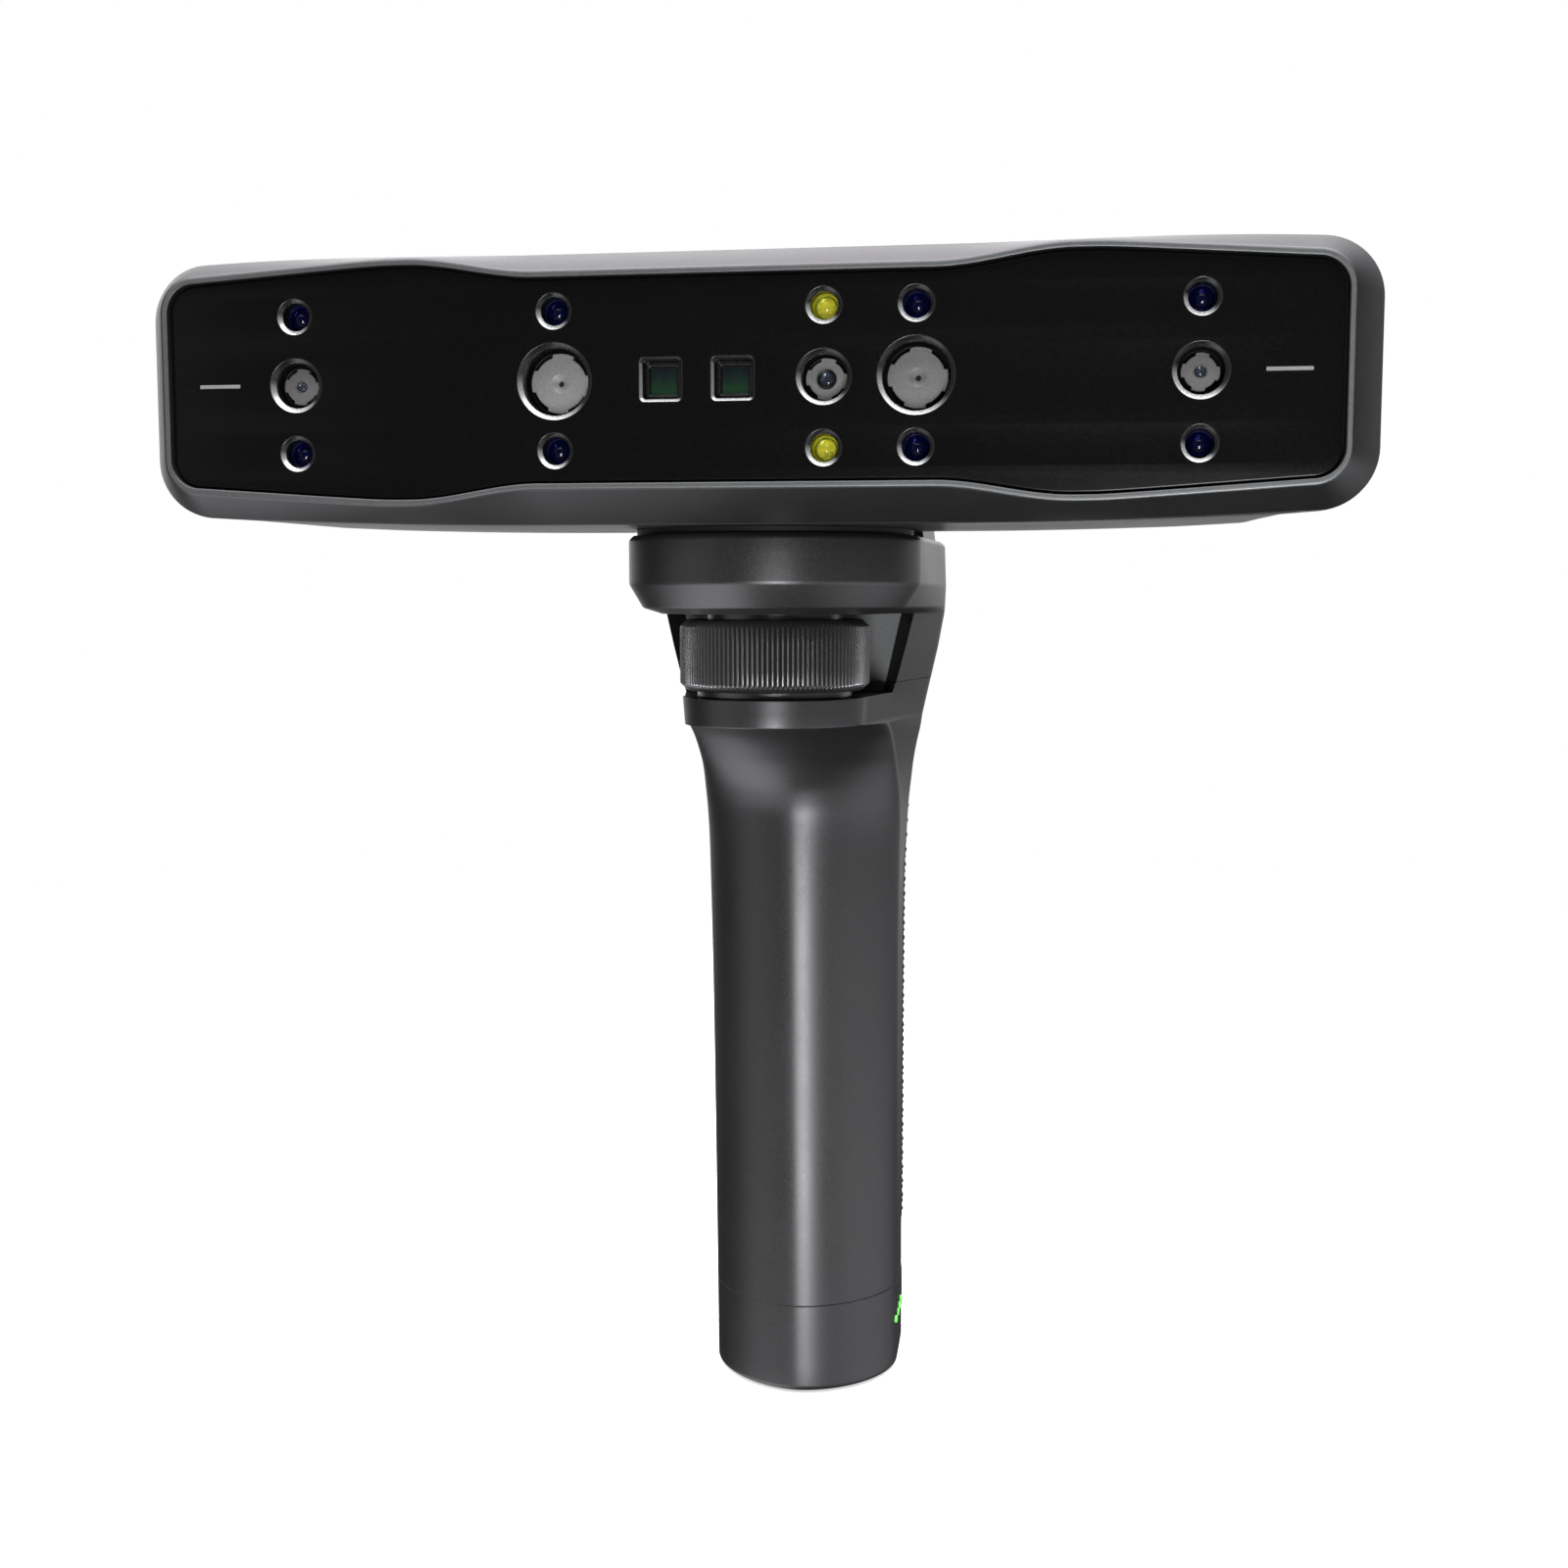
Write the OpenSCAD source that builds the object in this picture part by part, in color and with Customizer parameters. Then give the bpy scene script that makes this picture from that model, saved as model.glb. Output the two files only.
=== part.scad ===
// Handheld structured-light scanner: a wide sensor head that a captive thumb screw
// clamps to a pistol-style grip with a slide-out battery pack.
// Millimetres. Origin: centre of the battery cap's bottom face. +Z up, the optics face -Y.
// The shapes are written in the head's own frame (optical axis row at z = 0, front panel at y = 0),
// and place() moves them into the part's frame. A "depth" is a distance below the camera row.

/* [Sensor head] */
// Distance of each outer camera from the centre plane
outer_cam_x = 75; // [74:0.5:76]
// Distance of each inner camera from the centre plane
inner_cam_x = 30; // [29:0.5:31]
// Position of the colour camera
color_cam_x = 15; // [14.5:0.5:15.5]
// Height of the lights above and below the camera row
led_z = 11.4; // [11:0.2:11.8]
// Half width over the front rim
rim_w = 98.4; // [98:0.1:98.8]
// Half width over the flare
flare_w = 103.9; // [103.5:0.1:104.5]
// Wall thickness of the head shells
head_wall = 2.2; // [1.8:0.1:2.6]
// Depth of the head at its centre
head_depth = 65; // [64:0.5:66]

/* [Handle] */
// Distance of the clamp screw behind the front panel
screw_y = 45; // [44.5:0.5:45.5]
// Radius of the knurled thumb wheel
wheel_r = 17.9; // [17.5:0.1:18]
// Ribs around the thumb wheel
wheel_ribs = 120; // [60:10:140]
// Height of the seam between grip and battery cap, below the camera row
cap_seam = 184.3; // [184:0.1:185]
// Underside of the battery cap, below the camera row
base_z = 203.3; // [203:0.1:204]

/* [Hidden] */

base_y = 95.15;  // centre of the grip's bottom face, behind the front panel
lean = 2.92;     // backward lean of the grip, degrees
gap = 0.15;      // seam between shells
sides = [-1, 1];

housing_c = "#5e5f62";
black_c = "#161616";
barrel_c = "#2a2a2c";
ring_c = "#8c8c8c";
key_c = "#3a3c40";
board_c = "#1f5a35";
steel_c = "#a9abb0";
fastener_c = "#8f9196";
contact_c = "#c9a94e";

// ---------- frames and basic shapes ----------
module place() translate([0, -base_y, base_z]) children();

// grip axis frame: origin at the centre of the bottom face, z along the leaning grip
module along_grip() translate([0, base_y, -base_z]) rotate([lean, 0, 0]) children();

// cylinder or cone along +Y from y0 to y1, centred on (x, z)
module cyl_y(x, z, radius, y0, y1, end_radius = undef)
  translate([x, y0, z]) rotate([-90, 0, 0])
    cylinder(r1 = radius, r2 = end_radius == undef ? radius : end_radius, h = y1 - y0, $fn = 96);

module box(x0, x1, y0, y1, z0, z1)
  translate([x0, y0, z0]) cube([x1 - x0, y1 - y0, z1 - z0]);

// rectangular bar along +Y from y0 to y1, centred on (x, z)
module bar_y(x, z, half_w, half_h, y0, y1)
  box(x - half_w, x + half_w, y0, y1, z - half_h, z + half_h);

// flat plate along +Y from an [x, z] outline
module plate_y(points, y0, y1)
  translate([0, y1, 0]) rotate([90, 0, 0]) linear_extrude(y1 - y0) polygon(points);

// skin through rings of equal point count; joined end to end, or capped
module skin(rings, loop = false) {
  count = len(rings[0]);
  ring_count = len(rings);
  walls = [for (k = [0:ring_count - (loop ? 1 : 2)]) for (i = [0:count - 1])
    let (next_i = (i + 1) % count, next_ring = ((k + 1) % ring_count) * count,
         a = k * count + i, b = k * count + next_i, c = next_ring + next_i, d = next_ring + i)
    each [[a, b, c], [a, c, d]]];
  caps = loop ? [] : [[for (i = [count - 1:-1:0]) i],
                      [for (i = [0:count - 1]) (ring_count - 1) * count + i]];
  polyhedron(points = [for (ring = rings) each ring], faces = concat(walls, caps), convexity = 8);
}

// ---------- outlines of the head ----------
rim_corner = 6;
flare_corner = 10;
waist_h = 17.9;         // half height of the rim at its waist
swell = 2.5;            // added over the inner cameras
taper_x = 57.5;         // where the rim starts to taper
flare_half_h = 23.1;
neck_z = -flare_half_h; // underside of the head at the neck
flat_x = 36;            // half width of the flare's straight middle
top_steps = 26;
corner_steps = 8;
side_steps = 3;

function smooth(t) = let (u = min(1, max(0, t))) u * u * (3 - 2 * u);
// half height of the front rim: narrow waist, a swell, then a slow taper
function rim_h(x) = let (a = abs(x), past = max(0, a - taper_x))
  a < taper_x ? waist_h + swell * smooth((a - 33) / 22)
              : waist_h + swell - 0.0684 * (past - 3 * (1 - exp(-past / 3)));
function flare_h(x) = flare_half_h - 1.3 * pow(max(0, abs(x) - flat_x) / 58, 2);
// y of the flare's edge: furthest back in the middle
function flare_y(x) = 14 - 6.1 * smooth((abs(x) - flat_x) / 54);
function half_h(shape, x) = shape == "rim" ? rim_h(x) : flare_h(x);

// one quarter of an outline, from the top centre to the side
function quarter(shape, half_w, inset, corner) =
  let (arc_x = half_w - corner, arc_z = half_h(shape, arc_x) - inset - corner)
  concat([for (i = [0:top_steps]) let (x = arc_x * i / top_steps) [x, half_h(shape, x) - inset]],
         [for (i = [1:corner_steps]) let (angle = 90 - 90 * i / corner_steps)
           [arc_x + corner * cos(angle), arc_z + corner * sin(angle)]],
         [for (i = [1:side_steps - 1]) [half_w, arc_z * (1 - i / side_steps)]]);
function outline(shape, half_w, inset, corner) =
  let (q = quarter(shape, half_w, inset, corner), last = len(q) - 1)
  concat(q, [[half_w, 0]],
         [for (i = [last:-1:1]) [q[i][0], -q[i][1]]], [[0, -q[0][1]]],
         [for (i = [1:last]) [-q[i][0], -q[i][1]]], [[-half_w, 0]],
         [for (i = [last:-1:1]) [-q[i][0], q[i][1]]]);
function rim_line(inset) = outline("rim", rim_w - inset, inset, rim_corner - inset);
function flare_line(inset) = outline("flare", flare_w - inset, inset, flare_corner - inset);
function ring_at(points, y) = [for (p = points) [p[0], y, p[1]]];
function ring_flare(points) = [for (p = points) [p[0], flare_y(p[0]), p[1]]];

ledge = 3.2;       // inset of the ledge that carries the front panel
ledge_y = 2.4;     // front face of the ledge
ledge_back = 5.6;
ledge_line = outline("rim", rim_w - ledge, ledge, 3.3);
opening_line = rim_line(1.1);  // opening of the rim
panel_line = rim_line(1.5);

// ---------- places shared by several pieces ----------
case_screws = [for (sx = sides, sz = sides) [87 * sx, 12.6 * sz]];
bench_posts = [for (sx = sides, sz = sides) [52 * sx, 13 * sz]];
case_head_y = 47.2;  // seat of the case screws' heads

keypad_z = -3;
keypad_half_w = 27;
keypad_half_h = 7.6;
side_key_x = 15;
scan_r = 5.2;
side_r = 3.7;

port_x = 64;         // data port
port_z = 3;
port_half_w = 4.5;
port_half_h = 1.6;

fan_x = -43;
fan_z = 3;

// neck joint between head and handle
insert_r = 5;
pin_x = 14;
pin_r = 2;
contact_y = 57.5;
contact_pitch = 2.2;
contact_r = 0.55;
contact_tail_z = -31;

module on_screw_axis(z) translate([0, screw_y, z]) children();
module each_pin(z) for (s = sides) translate([pin_x * s, screw_y, z]) children();
module each_contact(z)
  for (i = [-2.5:1:2.5]) translate([contact_pitch * i, contact_y, z]) children();
// the two long screws that hold the upper housing to the grip
module each_long_screw(z) for (s = sides) translate([17.5 * s, 84, z]) children();

// ---------- head shells ----------
module front_frame() place() color(housing_c) difference() {
  union() {
    skin([ring_at(opening_line, ledge_y),
          ring_at(ledge_line, ledge_y),
          ring_at(ledge_line, ledge_back),
          ring_at(rim_line(1.2), ledge_back),
          ring_flare(flare_line(head_wall)),
          ring_flare(flare_line(0)),
          ring_at(rim_line(0), -1),
          ring_at(opening_line, -1)], loop = true);
    for (p = case_screws) cyl_y(p[0], p[1], 3.2, 3, 7.9);
  }
  for (p = case_screws) cyl_y(p[0], p[1], 1.2, 4, 9);
}

rear_half_w = 75;    // half width of the crowned rear face
side_half_w = 97.3;  // half width just behind the flare
side_y = 14.6;
function crown(x) = head_depth - 4 * pow(x / rear_half_w, 2);
// [x, y] plan of the head behind the flare; inset 0 is the outside, others are set in from it
function plan(inset) =
  let (front = [for (i = [0:20]) let (x = (flare_w - flare_corner) * i / 20)
         [x, inset > 0 ? 4 : flare_y(x) + gap]],
       side = inset > 0
         ? [[side_half_w - inset, 4], [side_half_w - inset, side_y],
            [93 - inset, 51 - inset * 0.4],
            [rear_half_w - inset * 0.3, crown(rear_half_w) - inset]]
         : [[flare_w, flare_y(flare_w) + gap], [side_half_w, side_y], [93.6, 47.5],
            [92.4, 51], [89.6, 53.6], [rear_half_w, crown(rear_half_w)]],
       rear = [for (i = [1:9]) let (x = rear_half_w * (1 - i / 9)) [x, crown(x) - inset]],
       half = concat(front, side, rear))
  concat(half, [for (i = [len(half) - 2:-1:1]) [-half[i][0], half[i][1]]]);

module head_block(inset) {
  // [y, z] along the underside and its rear bevels; the top mirrors it
  lower = [[-1, -25 + inset], [56.5, -25 + inset], [60.5 - inset / 2, -21.6 + inset],
           [63.4 - inset, -18 + inset], [66 - inset, -13 + inset]];
  upper = [for (i = [len(lower) - 1:-1:0]) [lower[i][0], -lower[i][1]]];
  intersection() {
    translate([0, 0, -30]) linear_extrude(60) polygon(plan(inset));
    plate_y(flare_line(inset), 0, 80);
    rotate([90, 0, 90]) translate([0, 0, -110]) linear_extrude(220) polygon(concat(lower, upper));
  }
}

module rear_shell() place() color(housing_c) difference() {
  union() {
    difference() {
      head_block(0);
      head_block(head_wall);
    }
    intersection() {
      union() for (p = case_screws) cyl_y(p[0], p[1], 3.8, 8.6, 52);
      head_block(1);
    }
    // bosses for the insert and the locating pins, and the block round the data port
    on_screw_axis(neck_z + 0.4) cylinder(r = 7.5, h = 12.3, $fn = 96);
    each_pin(neck_z + 0.4) cylinder(r = 4, h = 6, $fn = 64);
    box(port_x - 9.5, port_x + 9, 55, 60.5, port_z - 6, port_z + 6);
  }
  // heat-set insert, locating holes and contact pads in the underside
  on_screw_axis(-30) cylinder(r = insert_r, h = 21, $fn = 96);
  each_pin(-30) cylinder(r = pin_r + 0.06, h = 11.9, $fn = 64);
  each_contact(-24) cylinder(r = 0.9, h = 1.9, $fn = 48);
  for (p = case_screws) {
    cyl_y(p[0], p[1], 1.35, 8, 60);
    cyl_y(p[0], p[1], 2.6, case_head_y, 60);
  }
  // keypad panel, data port with its cover's recess, and a grille on each side
  bar_y(0, keypad_z, keypad_half_w + 0.1, keypad_half_h + 0.1, 55, 70);
  bar_y(port_x, port_z, port_half_w + 0.1, port_half_h + 0.1, 50, 70);
  box(port_x - 8.7, port_x + 7.1, 60, 70, port_z - 3.6, port_z + 3.6);
  for (s = sides, i = [-3:3]) bar_y(fan_x * s, fan_z + 3 * i, 9, 0.7, 55, 70);
}

// ---------- front panel ----------
// bores of the front panel: [rim radius, bore radius, recess depth]
outer_bore = [4.5, 3.75, 2.6];
inner_bore = [6.3, 5.6, 4.0];
color_bore = [4.5, 3.85, 4.0];
led_bore = [2.96, 2.3, 2.1];
function rim_radius(bore) = bore[0];
function bore_radius(bore) = bore[1];
function recess(bore) = bore[2];

blue_leds = [for (s = sides, v = sides, x = [outer_cam_x, inner_cam_x]) [x * s, led_z * v]];
yellow_leds = [for (v = sides) [color_cam_x, led_z * v]];
// every round opening: [x, z, bore]
openings = concat(
  [for (s = sides) [outer_cam_x * s, 0, outer_bore]],
  [for (s = sides) [inner_cam_x * s, 0, inner_bore]],
  [[color_cam_x, 0, color_bore]],
  [for (p = concat(blue_leds, yellow_leds)) [p[0], p[1], led_bore]]);
window_x = [-12, 0];  // the two laser windows

// rounded square from true arcs
module rounded_square(half, corner) {
  square([2 * half, 2 * (half - corner)], center = true);
  square([2 * (half - corner), 2 * half], center = true);
  for (sx = sides, sy = sides)
    translate([sx * (half - corner), sy * (half - corner)]) circle(r = corner, $fn = 32);
}
module window_block(x, half, corner, y0, y1)
  translate([x, y1, 0]) rotate([90, 0, 0]) linear_extrude(y1 - y0) rounded_square(half, corner);
module index_bars(y0) for (s = sides) bar_y(88.55 * s, 0, 3.65, 0.32, y0, 0.4);

bench_y = 14;  // front of the optical bench, where the panel's posts end
bench_back = 17;

module front_panel() place() color(black_c) difference() {
  union() {
    plate_y(panel_line, 0, 2);
    for (o = openings) cyl_y(o[0], o[1], bore_radius(o[2]) + 0.9, 1, recess(o[2]) + 1);
    for (x = window_x) window_block(x, 4.6, 1.4, 1, 3.6);
    for (p = bench_posts) cyl_y(p[0], p[1], 2.4, 1, bench_y);
  }
  for (o = openings) let (rim = rim_radius(o[2]), bore = bore_radius(o[2])) {
    cyl_y(o[0], o[1], bore, -1, 9);
    cyl_y(o[0], o[1], rim + 0.02, -0.02, rim - bore, bore);  // chamfer
  }
  for (x = window_x) {
    window_block(x, 3.15, 0.6, -1, 9);
    window_block(x, 3.55, 0.8, -1, 0.5);
  }
  for (p = bench_posts) cyl_y(p[0], p[1], 1.2, 6, 15);
  index_bars(-1);
}

module panel_gasket() place() color("#0b0b0b") difference() {
  plate_y(opening_line, 0.3, ledge_y);
  plate_y(panel_line, -1, 2);
  plate_y(ledge_line, -1, 3);
}

module index_marks() place() color("#9a9a9a") index_bars(-0.03);

// ---------- lenses: barrel behind the panel, notched ring in the bore, glass in the ring ----------
camera_board_y = 20;
ring_depth = 1;

module barrel(x, bore) difference() {
  union() {
    cyl_y(x, 0, bore_radius(bore) + 0.9, recess(bore) + 1, bench_y);
    cyl_y(x, 0, bore_radius(bore) - 0.6, bench_y, camera_board_y);
  }
  cyl_y(x, 0, 1.9, recess(bore), camera_board_y + 1);
}
module notched_ring(x, bore, radius, hole_r, turn) let (front = recess(bore)) difference() {
  cyl_y(x, 0, radius, front, front + ring_depth);
  cyl_y(x, 0, hole_r, front - 1, front + 2);
  for (i = [0:3]) translate([x, front - 1, 0]) rotate([0, turn + 90 * i, 0])
    box(radius - 0.45, radius + 1, 0, 3, -radius * 0.26, radius * 0.26);
}
// ball centred at ball_y, trimmed to a rod from y0 to y1
module dome(x, z, ball_y, ball_r, rod_r, y0, y1) intersection() {
  translate([x, ball_y, z]) sphere(r = ball_r, $fn = 48);
  cyl_y(x, z, rod_r, y0, y1);
}

module outer_lens_barrels() place() color(barrel_c)
  for (s = sides) barrel(outer_cam_x * s, outer_bore);
module outer_lens_rings() place() color(ring_c)
  for (s = sides) notched_ring(outer_cam_x * s, outer_bore, radius = 3.1, hole_r = 1.1, turn = 0);
module outer_lens_glass() place() color("#3d4c63")
  for (s = sides) dome(outer_cam_x * s, 0, ball_y = 4.2, ball_r = 1.6, rod_r = 1.1, y0 = 2, y1 = 5);

module inner_lens_barrels() place() color(barrel_c)
  for (s = sides) barrel(inner_cam_x * s, inner_bore);
module inner_lens_rings() place() color(ring_c) for (s = sides) difference() {
  notched_ring(inner_cam_x * s, inner_bore, radius = 5.0, hole_r = 0.46, turn = 45);
  cyl_y(inner_cam_x * s, 0, 1.57, 3.98, 4.6, 0.46);  // funnel down to the hole
}
module inner_lens_glass() place() color("#20262e")
  for (s = sides) cyl_y(inner_cam_x * s, 0, 1.5, recess(inner_bore) + ring_depth, 6.2);

module color_lens_barrel() place() color(barrel_c) barrel(color_cam_x, color_bore);
module color_lens_ring() place() color(ring_c)
  notched_ring(color_cam_x, color_bore, radius = 3.45, hole_r = 1.72, turn = 45);
module color_lens_glass() place() color("#30343a")
  dome(color_cam_x, 0, ball_y = 5.6, ball_r = 1.75, rod_r = 1.7, y0 = 3, y1 = 6.4);

// ---------- lights and lasers ----------
led_board_y = 4.2;

module led_dome(p)
  dome(p[0], p[1], ball_y = led_board_y, ball_r = 2.1, rod_r = 2.05, y0 = 1, y1 = led_board_y);
module blue_led_domes() place() color("#15164a") for (p = blue_leds) led_dome(p);
module yellow_led_domes() place() color("#8f8f20") for (p = yellow_leds) led_dome(p);
module led_boards() place() color(board_c) {
  // [first, last] light on each board; one board serves the colour and inner camera lights
  spans = [[-outer_cam_x, -outer_cam_x], [outer_cam_x, outer_cam_x],
           [-inner_cam_x, -inner_cam_x], [color_cam_x, inner_cam_x]];
  for (span = spans, v = sides)
    box(span[0] - 4, span[1] + 4, led_board_y, 5.4, led_z * v - 3, led_z * v + 3);
}

module laser_modules() place() color("#b08d57") for (x = window_x) union() {
  bar_y(x, 0, 4.4, 4.4, 4.2, 13.8);
  cyl_y(x, 0, 3.2, 13.8, 19);
}
module laser_window_frames() place() color("#101214") for (x = window_x) difference() {
  window_block(x, 3.1, 0.55, 2.4, 3.5);
  window_block(x, 2.35, 0.3, 1, 4);
}
module laser_window_glass() place() color("#24452f")
  for (x = window_x) window_block(x, 2.3, 0.28, 2.7, 3.4);

// ---------- inside the head ----------
module bench_hole(x, z, radius) cyl_y(x, z, radius, bench_y - 1, bench_back + 1);
module optical_bench() place() color(steel_c) difference() {
  union() {
    bar_y(0, 0, 82, 9.5, bench_y, bench_back);
    for (p = bench_posts) cyl_y(p[0], p[1], 3.6, bench_y, bench_back);
    bar_y(0, 0, 60, 13, bench_y, bench_back);
  }
  for (s = sides) {
    bench_hole(outer_cam_x * s, 0, 3.25);
    bench_hole(inner_cam_x * s, 0, 5.1);
  }
  bench_hole(color_cam_x, 0, 3.35);
  for (x = window_x) bench_hole(x, 0, 3.3);
  for (p = bench_posts) bench_hole(p[0], p[1], 1.3);
  for (s = sides) bar_y(52 * s, 0, 9, 5, bench_y - 1, bench_back + 1);
}
module bench_screws() place() color(fastener_c) for (p = bench_posts) difference() {
  union() {
    cyl_y(p[0], p[1], 2.3, bench_back, 18.6);
    cyl_y(p[0], p[1], 1.2, 8, bench_back);
  }
  cyl_y(p[0], p[1], 0.9, 17.8, 19);
}

module camera_boards() place() color(board_c) {
  back = camera_board_y + 1.4;
  for (s = sides) bar_y(outer_cam_x * s, 0, 7, 8, camera_board_y, back);
  bar_y(-inner_cam_x, 0, 8, 9, camera_board_y, back);
  box(color_cam_x - 6, inner_cam_x + 8, camera_board_y, back, -9, 9);
}

main_board_back = 29.6;
main_board_z = [-8, 18];  // bottom and top
module main_board() place() color(board_c) difference() {
  box(-70, 70, 28, main_board_back, main_board_z[0], main_board_z[1]);
  for (s = sides, z = [-5, 15]) cyl_y(66 * s, z, 1.6, 27, 31);
}
module heat_sink() place() color(steel_c) {
  sink_x = -64;
  fin_y = main_board_back + 3;
  box(sink_x, -26, main_board_back, fin_y, main_board_z[0], main_board_z[1]);
  for (i = [0:9]) let (x = sink_x + 4 * i)
    box(x, x + 1.4, fin_y, 42, main_board_z[0], main_board_z[1]);
}

module fan_frame() place() color("#1b1b1b") difference() {
  bar_y(fan_x, fan_z, 12.5, 12.5, 45, 53);
  cyl_y(fan_x, fan_z, 11.6, 44, 51.6);
  // air openings in the back wall, then corner screw holes
  for (i = [0:3]) translate([fan_x, 0, fan_z]) rotate([0, 45 + 90 * i, 0])
    cyl_y(7.6, 0, 3.4, 51, 54);
  for (sx = sides, sz = sides) cyl_y(fan_x + 10.6 * sx, fan_z + 10.6 * sz, 1.1, 44, 54);
}
module fan_rotor() place() color("#26282b") {
  cyl_y(fan_x, fan_z, 4.6, 45.3, 51.2);
  for (i = [0:6]) translate([fan_x, 48.2, fan_z]) rotate([0, 360 / 7 * i, 0]) rotate([35, 0, 0])
    translate([4.2, -0.5, -2.6]) cube([6.6, 1, 5.2]);
}

// ---------- rear keypad ----------
key_shoulder_y = 62.3;  // rear face of each key's flange

module button_hole(x, radius) cyl_y(x, keypad_z, radius + 0.08, 60, 68);
module control_panel() place() color(black_c) difference() {
  bar_y(0, keypad_z, keypad_half_w, keypad_half_h, 62.5, 65.4);
  button_hole(0, scan_r);
  for (s = sides) button_hole(side_key_x * s, side_r);
}
// stem, raised top and the flange behind the panel
module key(x, radius) union() {
  cyl_y(x, keypad_z, radius, key_shoulder_y, 66.1);
  cyl_y(x, keypad_z, radius - 0.5, 66.1, 66.5);
  cyl_y(x, keypad_z, radius + 0.9, 61.1, key_shoulder_y);
}
module scan_button() place() color(key_c) key(0, scan_r);
module plus_button() place() color(key_c) key(side_key_x, side_r);
module minus_button() place() color(key_c) key(-side_key_x, side_r);
module button_board() place() color(board_c) union() {
  bar_y(0, keypad_z, 22, 6.5, 58, 59.2);
  for (x = [-side_key_x, 0, side_key_x]) cyl_y(x, keypad_z, 2.4, 59.2, 60.1);
}

// ---------- data port ----------
module usb_socket() place() color(steel_c) difference() {
  bar_y(port_x, port_z, port_half_w, port_half_h, 50, 59.9);
  bar_y(port_x, port_z, port_half_w - 0.4, port_half_h - 0.4, 52, 61);
}
// sealing flap over the data port, on a pin at its inner edge
module port_cover() place() color("#1d1d1d") let (half = 3.4, hinge_x = port_x - 7.6) union() {
  box(port_x - 6.8, port_x + 6.9, 60.6, 62, port_z - half, port_z + half);
  translate([hinge_x, 61.4, port_z - half]) cylinder(r = 0.75, h = 2 * half, $fn = 48);
  box(hinge_x, port_x - 6.7, 61, 61.8, port_z - half, port_z + half);
  bar_y(port_x, port_z, 3.85, 1.1, 59.3, 60.7);
}

// ---------- head's side of the neck joint, and case screws ----------
module thread_insert() place() color("#b5924c") difference() {
  on_screw_axis(neck_z) cylinder(r = insert_r, h = 12.1, $fn = 96);
  on_screw_axis(-24) cylinder(r = 3.175, h = 14, $fn = 96);
}
module contact_pads() place() color(contact_c)
  each_contact(neck_z) cylinder(r = 0.88, h = 0.9, $fn = 48);
module shell_screws() place() color(fastener_c) for (p = case_screws) difference() {
  union() {
    cyl_y(p[0], p[1], 2.4, case_head_y, 49);
    cyl_y(p[0], p[1], 1.2, 5, case_head_y + 0.2);
  }
  cyl_y(p[0], p[1], 0.9, 48, 50);
}

// ---------- handle ----------
// cross sections of the handle: [depth, front half width, front y, y where the front curve ends,
// rear half width, y where the rear curve starts, rear y]
stations = [
  [24.3, 26.8, 19.2, 46, 28.4, 86, 107],
  [25.1, 27.6, 18.4, 46, 29.2, 86, 108],
  [33.2, 27.6, 18.4, 46, 29.5, 86, 108.5],
  [37.6, 25, 21, 46, 29.3, 86.3, 108.6],
  [38.7, 21.5, 24.5, 46, 29, 86.5, 108.7],
  [45.6, 19.8, 26, 45.5, 27.6, 87.5, 109],
  [52.3, 18.6, 27, 45.2, 26, 89, 109.4],
  [54.3, 18.2, 27, 45, 25.6, 89.4, 109.6],
  [59.4, 17.9, 27.1, 45, 24.6, 90.8, 110],
  [60.2, 20, 46, 62, 24.4, 91, 110.1],
  [62.7, 20.2, 53, 68, 24, 91.5, 110.3],
  [66, 20.2, 58.5, 73, 23.2, 92.6, 110.6],
  [70, 20.2, 63, 77.5, 22.4, 93.6, 111],
  [75, 20.3, 65.9, 80.5, 21.7, 95, 111.5],
  [80, 20.2, 67.1, 82, 21, 96.4, 112],
  [86, 20, 67.4, 82.6, 20.5, 97.6, 112.5],
  [97, 19.8, 67.9, 83.1, 19.9, 99.4, 113.4],
  [117, 19.6, 68.9, 84.2, 19.7, 100.6, 114.5],
  [184.3, 19.45, 72.3, 87.6, 19.5, 104, 118],
  [203.3, 19.45, 73.3, 88.6, 19.5, 105, 119]];
front_steps = 24;
rear_steps = 18;

function measure(column, depth) = lookup(depth, [for (row = stations) [row[0], row[column]]]);
// one closed section, moved outwards from the surface by out
function section(depth, out = 0) =
  let (front_w = measure(1, depth) + out, front_y = measure(2, depth) - out,
       front_end = measure(3, depth), rear_w = measure(4, depth) + out,
       rear_start = measure(5, depth), rear_y = measure(6, depth) + out)
  concat([for (i = [0:front_steps]) let (angle = 180 * i / front_steps)
           [-front_w * cos(angle), front_end - (front_end - front_y) * sin(angle), -depth]],
         [for (i = [0:rear_steps]) let (angle = 180 * i / rear_steps)
           [rear_w * cos(angle), rear_start + (rear_y - rear_start) * pow(sin(angle), 0.8),
            -depth]]);
module handle_loft(depths, out = 0) skin([for (depth = depths) section(depth, out)]);

housing_top = 24.3;
window_top = 38.7;
window_floor = 54.3;
leg_seam = 52.3;  // where the housing's legs meet the grip

// opening for the thumb wheel; its rear part narrows between flat walls
module wheel_window() {
  // [depth, y of the side walls, half width there, rear half width, rear y]
  levels = [[window_top, 63.3, 25.2, 21.9, 68], [window_floor, 61.5, 21.8, 18.6, 66.05]];
  union() {
    skin([for (l = levels)
      [[-45, 5, -l[0]], [45, 5, -l[0]], [45, l[1], -l[0]], [-45, l[1], -l[0]]]]);
    skin([for (l = levels) let (start_y = l[1] - 0.3)
      [[-l[2], start_y, -l[0]], [l[2], start_y, -l[0]], [l[3], l[4], -l[0]], [-l[3], l[4], -l[0]]]]);
  }
}

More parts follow.
